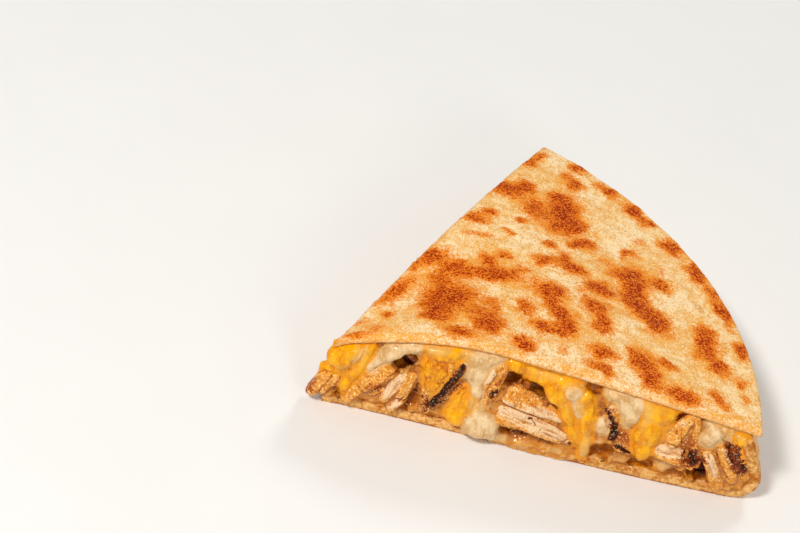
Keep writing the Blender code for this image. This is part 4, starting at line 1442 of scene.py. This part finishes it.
CHAR_MARKS = listed(Patch, (
    (37.2, 26.4, 2.6, 0.8, 0.75, 80), (36.6, 22.6, 3, 1.4, 0.9, 74), (34.7, 18, 3.2, 1.6, 1, 66),
    (33.2, 14.2, 2.6, 1.8, 1, 66), (31.6, 10.2, 2.9, 2.3, 1, 62), (29.8, 6.6, 2, 0.8, 0.4, 70),
    (47.7, 18.6, 1.7, 0.8, 1, 68), (49.4, 22.4, 1.3, 0.6, 0.6, 80), (60, 11.9, 0.55, 0.5, 0.95),
    (79.6, 22.4, 2, 0.5, 0.9, -45), (82.2, 19.4, 2.6, 0.7, 0.95, -52), (83.6, 16.6, 1.7, 0.9, 1, -80),
    (83.8, 13.6, 3, 1.8, 1, -80), (86.2, 9.8, 1.2, 0.8, 0.9, -20), (89, 8.8, 1.8, 0.9, 1, -12),
    (108, 12, 3.6, 2.4, 0.72, 84), (106.4, 13.2, 1.6, 1.4, 0.8), (109, 10.4, 1.6, 1, 0.6, 60),
    (123.6, 13, 2.4, 1, 1, -62), (120.2, 18, 4.4, 2.6, 0.58, -55), (121.8, 12.6, 3.6, 1.9, 0.5, -50),
    (118, 16.4, 2.8, 0.8, 0.5, -60), (118.6, 8.2, 2.4, 0.5, 0.6, -50), (110.8, 13, 2, 0.4, 0.6, -60),
    (73.6, 5.9, 1.4, 0.7, 0.6, -20), (72.2, 9.6, 1.6, 0.7, 0.45, -60), (72, 6.2, 2.4, 0.4, 0.4, -10),
    (113.9, 21.6, 0.8, 0.6, 0.7), (111.6, 17.9, 0.7, 0.5, 0.6), (80.6, 12.4, 1, 0.6, 0.7, -20),
))
CRACKS = listed(Patch, (
    (20.2, 8.8, 2.4, 0.22, 1, 60), (19.6, 7.2, 1.4, 0.2, 0.8, 70), (66.2, 13.1, 4.4, 0.22, 1, -6),
    (69.4, 11.6, 1.6, 0.25, 0.9, -40), (59, 13.9, 1.8, 0.14, 0.7, -18), (61, 11.2, 1.6, 0.16, 0.7, -45),
    (59, 6.3, 8, 0.3, 0.8, -8), (114.4, 14.4, 4, 0.3, 0.9, -52), (117.4, 10.2, 3.6, 0.35, 1, -50),
    (17.4, 14.6, 3.6, 0.4, 0.9, 62), (19.6, 18, 1.6, 0.35, 0.9, 70), (37.6, 15.4, 2.4, 0.5, 0.8, 62),
    (35, 10.8, 1.8, 0.2, 0.7, 62), (103.2, 18.4, 3.4, 0.25, 0.8, -75), (101, 15.2, 3.2, 0.25, 0.8, -8),
    (46.4, 23, 4.6, 0.22, 0.7, 72), (22.6, 8, 2, 0.25, 0.5, 60), (105, 20.6, 3.4, 0.2, 0.6, 82),
))
BROWNED = listed(Patch, (
    (35, 19, 10, 1.5, 0.9, 68), (82.6, 17, 6, 1.4, 0.8, -68), (28.6, 10.4, 6.4, 1.6, 0.6, 80),
    (36.4, 15.4, 5, 2, 1, 66), (36.2, 27.6, 2, 1.6, 0.8), (48.4, 24, 5, 0.9, 0.7, 74),
    (45.2, 17, 3.6, 1.2, 0.6, 66), (51.6, 22.6, 2.6, 1.4, 0.6, 20), (71.6, 9.8, 3.6, 1.7, 0.95, -50),
    (86.2, 15, 4.6, 2.2, 0.9, -60), (78.8, 23.8, 2.2, 1.2, 0.7, -40), (119.6, 17.4, 6.6, 3, 1, -58),
    (122, 12, 3.4, 2, 1, -40), (105.4, 17.6, 3.6, 1.8, 0.7, 80), (107.6, 11.8, 4.2, 4),
    (14.6, 10.2, 4, 1.6, 0.8, 30), (-4.8, 4.6, 5, 1.4, 1, 64), (3.8, 9.8, 3.6, 0.8, 0.7, 66),
    (18.2, 17, 3.4, 0.7, 0.6, 64), (25.2, 14.6, 4.6, 0.8, 0.7, 82), (110.4, 17, 2.4, 1, 0.7),
    (118.8, 7.4, 3.4, 0.8, 0.7, -50), (-2.2, 3.4, 2.6, 1.6, 0.6),
))
# Where the sauce bed at the front cut sinks into pits, which are also painted near-black as shadow.
DEEP_GAPS = listed(Patch, (
    (21.6, 24.4, 1.8, 2, 0.9), (24.9, 9.4, 4, 1, 0.6, 72), (56, 25.4, 3.4, 0.9, 0.6, -8),
    (51.4, 27.2, 2, 0.8, 0.5, -50), (74.8, 28.3, 1.7, 1.1, 1, -30), (101.4, 26, 2.4, 1.6, 1, 20),
    (66.6, 18.8, 3.6, 1.3, 1, -44), (56, 6.4, 4.6, 1, 0.7, -4), (65, 5, 4, 0.7, 0.6, -8),
    (82, 6.6, 2.2, 1.2, 0.4), (112, 8.6, 3.6, 1.8, 0.9, -50), (117.2, 12.8, 5, 0.7, 0.9, -55),
    (120.6, 14.4, 5, 0.8, 0.8, -58), (9.4, 7.4, 3, 1.4, 0.7, 50), (4, 5, 2.6, 0.8, 0.7, -60),
    (118, 17.6, 4.4, 1.2, 0.8, -56), (105.4, 9.4, 1.6, 1.4, 0.5), (26.2, 15.2, 4, 0.5, 0.45, 80),
    (44, 29.6, 2.4, 1.4, 0.5), (108, 27.2, 1.8, 1, 0.7),
))
SPILLS = listed(Patch, (
    (4, 3.4, 7, 1.6, 0.9), (52, 2, 4, 3), (60, 1.8, 6, 3), (69, 1.6, 6, 3), (86, 2.8, 5, 2, 0.9),
    (94, 2.2, 3, 2.4, 0.9), (108, 3.6, 5, 1.2, 0.7), (120, 2.6, 4, 1.6, 0.8), (77, 2.4, 2.4, 1.6, 0.8),
))


CREAMED = listed(Patch, (
    (100.4, 6.6, 4.2, 2.4, 0.85), (88, 5.4, 4.6, 2.6, 0.6), (63, 3.4, 4, 1.4, 0.45), (54, 3, 2.6, 1.6, 0.8),
    (69.4, 2.4, 3, 1.3, 0.7), (59.6, 0.6, 3, 0.9, 0.6), (80.8, 9.6, 1.8, 3.2, 0.7),
    (108, 27.2, 4, 1.6, 0.6), (33.6, 31.4, 3, 1.6, 0.4), (47.6, 13.6, 2, 2, 0.6), (22, 3.4, 6, 1, 0.4),
    (53, 1.8, 3, 1.4, 0.5),
))
YELLOWED = listed(Patch, (
    (95.6, 5.6, 4.4, 3, 0.75), (108.6, 5.2, 6, 1.6, 0.6), (84, 7.4, 3, 1.6, 0.4), (38, 6, 6, 2.6, 0.5),
    (57, 27.6, 4, 1.6, 0.6), (119.6, 21.6, 3.4, 2.4, 0.5, -50), (113.6, 27, 4, 1.4, 0.6),
    (78, 5.4, 2.6, 3, 0.6), (91.6, 7.6, 2.4, 1.4, 0.5),
))
MARBLING = listed(Patch, (
    (77.6, 5.6, 2.6, 5), (60.5, 30, 4.5, 1.8, 0.6), (26, 31, 4, 2.4, 0.5), (37.6, 30, 1.8, 4, 0.6),
    (43.4, 12.6, 2, 2.4, 0.6), (91.6, 24, 1.4, 5, 0.7), (116.4, 25, 2.6, 2.2, 0.75),
    (69, 21, 1.4, 4, 0.4, 20), (4.6, 15, 3, 1.2, 0.35), (8.8, 21, 0.7, 4, 0.5),
    (21, 30.2, 3.4, 1.2, 0.5, 25), (95.6, 28.4, 3, 2, 0.4), (79, 27.6, 2.2, 2, 0.6),
    (119.6, 24, 2, 1.6, 0.5),
))


def facing_places(points: np.ndarray, side: Side, form: WedgeForm) -> np.ndarray:
    """Where points show on a cut seen from the front and above: (distance along, height)."""
    local = form.on_cut(points, side)
    return np.stack([local[:, 0], local[:, 2] + SIGHT_SLOPE * local[:, 1]], axis=1)


class Neighbours:
    """Some bodies joined, to tell how near a surface comes to them."""

    def __init__(self, meshes: list[bpy.types.Mesh]) -> None:
        """Gathers the bodies into one tree.

        Args:
            meshes: the bodies.
        """
        joined = bmesh.new()
        for mesh in meshes:
            joined.from_mesh(mesh)
        self.tree = BVHTree.FromBMesh(joined)
        joined.free()

    def closeness(self, points: np.ndarray, reach: float) -> np.ndarray:
        """1 where points touch a neighbour, falling to 0 at a reach away.

        Args:
            points: the points, as (n, 3).
            reach: the distance at which it falls to 0.

        Returns:
            A closeness for each point.
        """
        found = (self.tree.find_nearest(Vector(point), reach)[3] for point in points.tolist())
        away = np.array([reach if distance is None else distance for distance in found])
        return 1 - ease(0.0, 1.0, away / reach)


@dataclass
class Morsel:
    """One piece of the filling, from the limbs that it is made of."""

    form: WedgeForm
    node: str
    food: Food
    lays: tuple[Lay, ...] = ()
    square: float = 2.6
    roughness: float = 0.35
    seed: float = 0.0

    def __post_init__(self) -> None:
        """Works out the limbs, and keeps their rough bodies for the neighbours to meet."""
        self.limbs = [Limb.from_lay(lay, self.form, self.side) for lay in self.lays]
        bundle = bmesh.new()
        for index, limb in enumerate(self.limbs):
            limb.add_to(bundle, self.square, self.roughness, self.seed + 3.7 * index)
        places = np.array([point.co for point in bundle.verts])
        for point, target in zip(bundle.verts, self.form.tucked(places, self.side).tolist()):
            point.co = target
        self.draft = mesh_of(bundle)

    @property
    def side(self) -> Side:
        """The cut that the piece shows at."""
        return Side.BACK if self.node.startswith("back") else Side.FRONT

    def rough_skin(self, voxel: float) -> Skin:
        """The limbs' bodies grown into one skin.

        Args:
            voxel: the skin's fineness, in millimetres.

        Returns:
            The skin.
        """
        bundle = bmesh.new()
        bundle.from_mesh(self.draft)
        return remeshed(bundle, voxel)

    def nearest_limbs(self, points: np.ndarray) -> tuple[np.ndarray, np.ndarray]:
        """Which limb each point lies on, and how near it is to the seam with another, 0 to 1.

        Args:
            points: the points, as (n, 3).

        Returns:
            The limb's number and the nearness to a seam, for each point.
        """
        reach = np.stack([(np.abs(limb.local(points)) ** 4).sum(axis=1) ** 0.25 for limb in self.limbs])
        order = np.sort(reach, axis=0)
        seam = np.zeros(len(points)) if len(self.limbs) == 1 else 1 - ease(0.0, 0.22, order[1] - order[0])
        return reach.argmin(axis=0), seam


@dataclass
class Chicken(Morsel):
    """A strip or chunk of chicken: blunt, fibrous, with a grainy crust."""

    square: float = 4.6
    roughness: float = 0.5
    voxel: float = 0.24
    fibre_pitch: float = 0.95
    fibre_length: float = 7.0
    fibre_depth: float = 0.15
    grain_pitch: float = 0.95
    grain_depth: float = 0.13
    sear_stretch: tuple[float, float, float] = (1.0, 1.0, 0.35)
    fold_pitch: float = 2.6
    fold_height: float = 0.32
    crack_depth: float = 0.75
    seam_depth: float = 0.35

    def fibres(self, points: np.ndarray, owner: np.ndarray) -> tuple[np.ndarray, np.ndarray]:
        """Fibres and broader folds, drawn along the limb that each point lies on.

        Args:
            points: the points, as (n, 3).
            owner: the number of each point's limb.

        Returns:
            The fibres' and the folds' heights, each from about -1 to 1.
        """
        fibres, folds = np.zeros(len(points)), np.zeros(len(points))
        for index, limb in enumerate(self.limbs):
            mine = owner == index
            if not mine.any():
                continue
            places = limb.grain_places(points[mine])
            places[:, 0] /= self.fibre_length
            fibres[mine] = 1 - 2.6 * np.abs(ripple(places, self.fibre_pitch, 1, self.seed + index))
            folds[mine] = ripple(places, self.fold_pitch, 2, self.seed + index + 0.5)
        return fibres, folds

    def cooking(self, points: np.ndarray) -> dict[str, np.ndarray]:
        """Where the piece is pale, charred, cracked and browned.

        Args:
            points: the points, as (n, 3).

        Returns:
            A strength at each point, for each kind of mark.
        """
        if self.side is Side.BACK:
            return {
                "pale": ease(0.0, 0.5, ripple(points, 9.0, 2, 13.0)),
                "char": ease(0.34, 0.62, ripple(points * self.sear_stretch, 5.0, 2, 18.0)),
                "crack": np.zeros(len(points)),
                "brown": ease(0.1, 0.8, ripple(points, 7.0, 2, 19.0)),
            }
        flat = facing_places(points, self.side, self.form)
        warp = wander(points, 1.9, 0.75, self.seed)[:, :2]
        return {
            # pale meat, with painted light on chicken_strip_7
            "pale": painted(flat, PALE_MEAT_AND_PAINTED_LIGHT, warp),
            "char": painted(flat, CHAR_MARKS, warp),
            "crack": painted(flat, CRACKS, warp * 0.45),
            "brown": painted(flat, BROWNED, warp),
        }

    def build(self, finish: bpy.types.Material, cheddar: Neighbours, white: Neighbours) -> bpy.types.Object:
        """Shapes the piece and marks where it is pale, cracked, charred or glazed.

        Args:
            finish: the chicken's material.
            cheddar: the orange cheese near it.
            white: the pale cheese near it.

        Returns:
            The finished piece.
        """
        skin = self.rough_skin(self.voxel)
        skin.smooth(3)
        points = skin.points.copy()
        owner, seam = self.nearest_limbs(points)
        fibres, folds = self.fibres(points, owner)
        cooked = self.cooking(points)
        char, crack = cooked["char"], cooked["crack"]
        crust = np.clip(1.0 - cooked["pale"], 0, 1)
        grains = granules(points + wander(points, 1.2, 0.3, 5.0), self.grain_pitch, self.seed)
        height = self.fibre_depth * (0.55 + 0.45 * cooked["pale"]) * fibres + self.fold_height * folds
        height = height + self.grain_depth * (grains - 0.45) * (0.25 + 0.75 * crust + 0.5 * char)
        skin.push(height - self.crack_depth * crack - self.seam_depth * seam)
        skin.smooth(1, 0.35)
        skin.points = self.form.tucked(skin.points, self.side)
        hollow = skin.hollows(5)
        skin.mark("crust", crust)
        skin.mark("grain", grains)
        skin.mark("fibre", 0.5 + 0.5 * fibres)
        # crease depth, with the limbs' seams and the cracks, for the material's painted shade
        skin.mark("hollow", 0.5 + 2.2 * hollow + 0.3 * seam + 0.6 * crack)
        skin.mark("char", char)
        skin.mark("brown", cooked["brown"])
        skin.mark("glaze", cheddar.closeness(points, 1.5))
        skin.mark("milky", white.closeness(points, 1.4))
        return serve(skin, self.node.replace("chicken", "cooked_chicken"), finish, Food.CHICKEN, self.node)


@dataclass
class Cheese(Morsel):
    """A pull, drip or fold of melted cheese."""

    roughness: float = 0.25
    voxel: float = 0.32
    swell: float = 0.3
    sag: float = 0.34
    streak: float = 0.18
    pucker: float = 0.3

    def build(self, finish: bpy.types.Material, chicken: Neighbours, other: Neighbours) -> bpy.types.Object:
        """Melts the limbs together and lets them sag into soft waves.

        Args:
            finish: the cheese's material.
            chicken: the chicken near it.
            other: the other cheese near it.

        Returns:
            The finished piece.
        """
        skin = self.rough_skin(self.voxel)
        skin.smooth(12)
        points = skin.points.copy()
        near = chicken.closeness(points, 1.6)
        drawn = points * np.array((1.0, 1.0, 0.3))
        waves = self.swell + self.sag * ripple(points, 3.6, 2, self.seed)
        waves = waves + self.streak * ripple(drawn, 1.5, 2, self.seed)
        skin.push(waves + self.pucker * near * ripple(points, 1.0, 1, self.seed + 2))
        skin.smooth(2)
        skin.points = self.form.tucked(skin.points, self.side)
        # crease depth, for the material's painted shade
        skin.mark("hollow", 0.5 + 1.5 * skin.hollows(10))
        # closeness to the chicken, which darkens the cheese there
        skin.mark("sauce", 0.8 * near)
        swirl = np.zeros(len(points))
        if self.side is Side.FRONT:
            flat = facing_places(points, self.side, self.form) + wander(points, 3.0, 0.9, 60.0)[:, :2]
            swirl = painted(flat, MARBLING)
        skin.mark("other", other.closeness(points, 1.5) + swirl)
        name = self.node.replace("cheddar", "melted_cheddar").replace("white_cheese", "melted_white_cheese")
        return serve(skin, name, finish, self.food, self.node)


@dataclass
class PackedFilling:
    """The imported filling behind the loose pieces: shredded and sauced."""

    form: WedgeForm
    columns: int = 110
    rows: int = 20
    turns: int = 12
    reach: float = 118.7
    belly: float = 5.4
    belly_power: float = 0.45
    inset: float = 2.4

    def place(self, along: np.ndarray, side: np.ndarray, height: np.ndarray) -> np.ndarray:
        """The filling's points for shares of its radius, its angle and its height.

        Args:
            along: shares of the length from tip to rim, 0 to 1.
            side: shares of the angle from the front cut to the back one, 0 to 1.
            height: shares of the height from the bottom face to the top one, 0 to 1.

        Returns:
            A point for each share.
        """
        recess = self.form.recess(height) + self.inset
        half = self.form.angle / 2
        apex = polar(recess / math.sin(math.radians(half)), np.full(len(along), half), np.zeros(len(along)))
        corner = np.degrees(np.arcsin(recess / self.reach))
        reach = self.reach + self.belly * np.sin(math.pi * height**self.belly_power)
        rim = polar(reach, corner + (self.form.angle - 2 * corner) * side, np.zeros(len(along)))
        points = apex * (1 - along[:, None]) + rim * along[:, None]
        bottom = self.form.bottom_sheet + self.form.gap / 2
        points[:, 2] = bottom + (self.form.ceiling(points) - self.form.gap / 2 - bottom) * height
        return points

    def build(self, finish: bpy.types.Material) -> bpy.types.Object:
        """Shapes the block and lumps it.

        Args:
            finish: the filling's material.

        Returns:
            The finished piece.
        """
        skin, shares = shaped_block(wedge_block(self.columns, self.rows, self.turns), self.place)
        height = shares[:, 2]
        inside = ease(0.0, 0.08, height) * ease(1.0, 0.92, height)
        skin.push(0.5 * ripple(skin.points, 3.0, 3, 40.0) * inside)
        # crease depth, for the material's painted shade
        skin.mark("hollow", 0.5 + 0.9 * skin.hollows(8))
        for name in ("gap", "seam", "cheddar", "cream", "meat"):
            skin.mark(name, np.zeros(len(skin.points)))
        return serve(skin, "packed_filling", finish, Food.FILLING, "filling")


@dataclass
class SauceBed:
    """Sauce, shreds and melted cheese that fill the crevices between all the pieces at one cut."""

    form: WedgeForm
    side: Side
    voxel: float = 0.42
    slab: float = 11.0
    reach: float = 1.5
    sink: float = 0.45
    sheet_inset: float = 0.8
    lump_height: float = 0.5
    crumb_height: float = 0.2
    spill_height: float = 1.45
    cheese_height: float = 0.35
    gap_depth: float = 1.5
    floor: float = 0.2

    def inward(self) -> Vector:
        """The level direction straight in from the cut.

        Returns:
            A direction of unit length.
        """
        if self.side is Side.FRONT:
            return Vector((0.0, 1.0, 0.0))
        turn = math.radians(self.form.angle)
        return Vector((math.sin(turn), -math.cos(turn), 0.0))

    def sliced(self, name: str) -> bmesh.types.BMesh:
        """The part of a CAD node that lies near the cut.

        Args:
            name: the node.

        Returns:
            The part, as a closed bmesh.
        """
        body = node_body(name)
        bmesh.ops.bisect_plane(
            body,
            geom=body.verts[:] + body.edges[:] + body.faces[:],
            plane_co=self.inward() * self.slab,
            plane_no=self.inward(),
            clear_outer=True,
        )
        bmesh.ops.holes_fill(body, edges=[edge for edge in body.edges if edge.is_boundary])
        return body

    def thinned(self, name: str) -> bpy.types.Mesh:
        """A sheet of tortilla near the cut, drawn in on all its sides.

        Args:
            name: the sheet's node.

        Returns:
            The thinner sheet.
        """
        sheet = self.sliced(name)
        sheet.normal_update()
        for point in sheet.verts:
            point.co -= point.normal * self.sheet_inset
        return mesh_of(sheet)

    def sunk_skin(self, meshes: list[bpy.types.Mesh]) -> Skin:
        """One skin round some bodies, grown over their crevices and then let sink into them.

        Args:
            meshes: closed bodies that may overlap.

        Returns:
            The skin.
        """
        joined = bmesh.new()
        for mesh in meshes:
            joined.from_mesh(mesh)
        grown = remeshed(joined, self.voxel)
        grown.smooth(1)
        grown.push(np.full(len(grown.points), self.reach))
        grown.write(grown.points)
        fat = bmesh.new()
        fat.from_mesh(grown.mesh)
        skin = remeshed(fat, self.voxel)
        skin.smooth(2)
        skin.push(np.full(len(skin.points), -self.reach - self.sink))
        skin.smooth(1)
        return skin

    def marks(self, points: np.ndarray) -> dict[str, np.ndarray]:
        """Where the bed has gaps, spills over the sheets, and holds cheese of its own.

        Args:
            points: the points, as (n, 3).

        Returns:
            A strength at each point, for each kind of mark.
        """
        flat = facing_places(points, self.side, self.form)
        if self.side is Side.FRONT:
            warp = wander(points, 1.6, 0.4, 50.0)[:, :2]
            marks = {
                "gap": painted(flat, DEEP_GAPS, warp),
                "spill": painted(flat, SPILLS, warp * 2),
                "cream": painted(flat, CREAMED, warp * 2),
                "cheddar": painted(flat, YELLOWED, warp * 2),
            }
        else:
            marks = {
                "gap": ease(0.4, 0.65, ripple(points, 5.5, 2, 51.0)),
                "spill": ease(0.1, 0.4, ripple(points, 7.0, 2, 52.0)) * ease(6.0, 3.0, flat[:, 1]),
                "cream": ease(0.25, 0.6, ripple(points, 7.0, 2, 53.0)),
                "cheddar": ease(0.2, 0.5, ripple(points, 8.0, 2, 54.0)),
            }
        depth = self.form.on_cut(points, self.side)[:, 1]
        marks["spill"] = marks["spill"] * ease(3.0, 1.0, depth)
        return marks

    def build(self, finish: bpy.types.Material, drafts: list[bpy.types.Mesh],
              trees: dict[str, Neighbours]) -> bpy.types.Object:
        """Grows one skin over everything at the cut, lets it sink between the pieces, and hollows the gaps.

        Args:
            finish: the sauce.
            drafts: the rough bodies of the pieces at this cut.
            trees: the chicken, cheddar and white cheese, by the names that the finish reads.

        Returns:
            The bed.
        """
        core = mesh_of(self.sliced("filling"))
        sheets = [self.thinned(name) for name in ("tortilla_top", "tortilla_bottom")]
        skin = self.sunk_skin([core, *sheets, *drafts])
        points = skin.points.copy()
        crust = Neighbours(sheets).closeness(points, 0.9)
        marks = self.marks(points)
        near = {name: tree.closeness(points, 1.6 if name == "meat" else 2.6)
                for name, tree in trees.items()}
        cheese = np.maximum(near["cheddar"], near["cream"])
        for name in ("cream", "cheddar"):
            near[name] = np.maximum(near[name], marks[name])
        spill = marks["spill"]
        sunk = marks["gap"] * (1 - cheese**3)
        lumps = self.lump_height * ripple(points, 3.4, 3, 40.0)
        lumps = lumps + self.crumb_height * ripple(points, 1.1, 1, 41.0)
        height = lumps * (1 - crust * (1 - spill)) * (1 - 0.5 * cheese) + self.spill_height * spill * crust
        dips = self.cheese_height * cheese**2 * (1 - sunk) - self.gap_depth * sunk
        skin.push(height + dips * (1 - crust))
        skin.points = self.form.tucked(skin.points, self.side)
        skin.points[:, 2] = np.maximum(skin.points[:, 2], self.floor)
        # crease depth, for the material's painted shade
        skin.mark("hollow", 0.5 + 0.9 * skin.hollows(6))
        # the sunk pits, painted near-black as shadow
        skin.mark("gap", sunk)
        # closeness to the chicken, for the painted shade where the bed meets it
        skin.mark("seam", trees["meat"].closeness(points, 1.0) * (1 - cheese) * (1 - crust))
        for name, values in near.items():
            skin.mark(name, values)
        return serve(skin, f"sauce_and_shreds_{self.side.name.lower()}", finish, Food.FILLING)


@dataclass
class Studio:
    """A pale floor, soft lights, and the camera."""

    target: Vector = Vector((-0.04835, -0.00919, 0.0175))
    distance: float = 0.67467
    azimuth: float = -1.5
    elevation: float = 39.318
    roll: float = 14.4
    lens: float = 100.0
    sky: float = 0.36

    def place_camera(self) -> None:
        """Looks at the wedge from the front and above, tilted a little."""
        data = bpy.data.cameras.new("camera")
        data.lens = self.lens
        camera = linked("camera", data)
        turn = Matrix.Rotation(math.radians(self.azimuth), 4, "Z")
        turn @= Matrix.Rotation(math.radians(90 - self.elevation), 4, "X")
        turn @= Matrix.Rotation(math.radians(self.roll), 4, "Z")
        back = turn.to_3x3() @ Vector((0, 0, 1))
        camera.matrix_world = Matrix.Translation(self.target + back * self.distance) @ turn
        bpy.context.scene.camera = camera

    def light(self, name: str, place: Vector, size: float, power: float, colour: Colour) -> None:
        """Hangs a square soft light that faces the wedge.

        Args:
            name: the light's name.
            place: where it hangs, in metres.
            size: how wide it is, in metres.
            power: its power, in watts.
            colour: its colour.
        """
        data = bpy.data.lights.new(name, "AREA")
        data.size = size
        data.energy = power
        data.color = colour
        lamp = linked(name, data)
        lamp.location = place
        lamp.rotation_euler = (-place).to_track_quat("-Z", "Y").to_euler()

    def lay_floor(self) -> None:
        """Lays the floor that the wedge rests on."""
        body = bmesh.new()
        bmesh.ops.create_grid(body, x_segments=1, y_segments=1, size=6.0)
        mesh = mesh_of(body, "floor")
        mix = Recipe("pale_floor")
        mix.colour(mix.blend(mix.grain(40.0), tone(244, 243, 240), tone(240, 239, 236)))
        mix.settle(Roughness=0.9, Specular_IOR_Level=0.1)
        mesh.materials.append(mix.material)
        linked("floor", mesh)

    def set_up(self) -> None:
        """Sets up the whole studio."""
        self.place_camera()
        self.lay_floor()
        world = bpy.data.worlds.new("studio")
        world.use_nodes = True
        glow = world.node_tree.nodes["Background"].inputs
        glow["Color"].default_value = (1.0, 0.99, 0.97, 1)
        glow["Strength"].default_value = self.sky
        bpy.context.scene.world = world
        bpy.context.scene.view_settings.view_transform = "Standard"
        self.light("key", Vector((-0.5, -0.65, 1.0)), 0.2, 10.0, (1.0, 0.98, 0.95))
        self.light("front_fill", Vector((0.5, -1.1, 0.6)), 0.3, 2.5, (1.0, 0.98, 0.96))
        self.light("back_rim", Vector((0.4, 0.9, 0.9)), 0.3, 4.0, (1.0, 0.99, 0.97))


MET_BY = {
    Food.CHICKEN: (Food.CHEDDAR, Food.WHITE_CHEESE),
    Food.CHEDDAR: (Food.CHICKEN, Food.WHITE_CHEESE),
    Food.WHITE_CHEESE: (Food.CHICKEN, Food.CHEDDAR),
}


def kind_of(node: str) -> Food:
    """The food that a CAD node's name says."""
    kinds = (Food.WHITE_CHEESE, Food.CHEDDAR, Food.CHICKEN, Food.FILLING, Food.TORTILLA)
    return next(kind for kind in kinds if kind.value in node)


def cooked_finishes() -> dict[Food, bpy.types.Material]:
    """Each food's material.

    Returns:
        The materials, by food.
    """
    return {
        Food.TORTILLA: TortillaFinish().material("toasted_tortilla"),
        Food.CHICKEN: ChickenFinish().material("seasoned_chicken"),
        Food.FILLING: FillingFinish().material("sauced_filling"),
        Food.CHEDDAR: CHEDDAR.material("melted_cheddar"),
        Food.WHITE_CHEESE: WHITE_CHEESE.material("melted_white"),
    }


def laid_morsels() -> list[Morsel]:
    """A morsel for each CAD node of chicken or cheese.

    Returns:
        The morsels, in the order of their nodes' names.
    """
    makers = {Food.CHICKEN: Chicken, Food.CHEDDAR: Cheese, Food.WHITE_CHEESE: Cheese}
    tables = {**FRONT_LAYS, **BACK_LAYS}
    morsels = []
    for index, node in enumerate(sorted(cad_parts)):
        food = kind_of(node)
        if food in makers:
            lays = listed(Lay, tables[node])
            morsels.append(makers[food](FORM, node, food, lays, seed=float(index)))
    return morsels


def laid_scraps() -> list[Morsel]:
    """The small scraps of chicken at both cuts, those at the back a mirror of the front's.

    Returns:
        One morsel of scraps for each cut.
    """
    inner = [lay for lay in SCRAP_LAYS if SCRAP_START < lay.x0 < SCRAP_END]
    mirrored = tuple(lay._replace(x0=SCRAP_SPAN - lay.x0, x1=SCRAP_SPAN - lay.x1) for lay in inner)
    return [Morsel(FORM, name, Food.FILLING, lays, square=3.0, roughness=0.55, seed=70.0)
            for name, lays in (("scraps", SCRAP_LAYS), ("back_scraps", mirrored))]


def main() -> None:
    """Builds every piece, then the studio."""
    logging.basicConfig(level=logging.INFO, format="%(message)s")
    finishes = cooked_finishes()
    morsels = laid_morsels()
    scraps = laid_scraps()
    near = {food: Neighbours([morsel.draft for morsel in morsels if morsel.food is food])
            for food in (Food.CHICKEN, Food.CHEDDAR, Food.WHITE_CHEESE)}
    TopTortilla(FORM).build(finishes[Food.TORTILLA])
    BottomTortilla(FORM).build(finishes[Food.TORTILLA])
    PackedFilling(FORM).build(finishes[Food.FILLING])
    trees = {"meat": near[Food.CHICKEN], "cheddar": near[Food.CHEDDAR], "cream": near[Food.WHITE_CHEESE]}
    for side in Side:
        drafts = [morsel.draft for morsel in (*morsels, *scraps) if morsel.side is side]
        SauceBed(FORM, side).build(finishes[Food.FILLING], drafts, trees)
    for morsel in morsels:
        first, second = (near[food] for food in MET_BY[morsel.food])
        morsel.build(finishes[morsel.food], first, second)
    Studio().set_up()


if __name__ == "__main__":
    main()
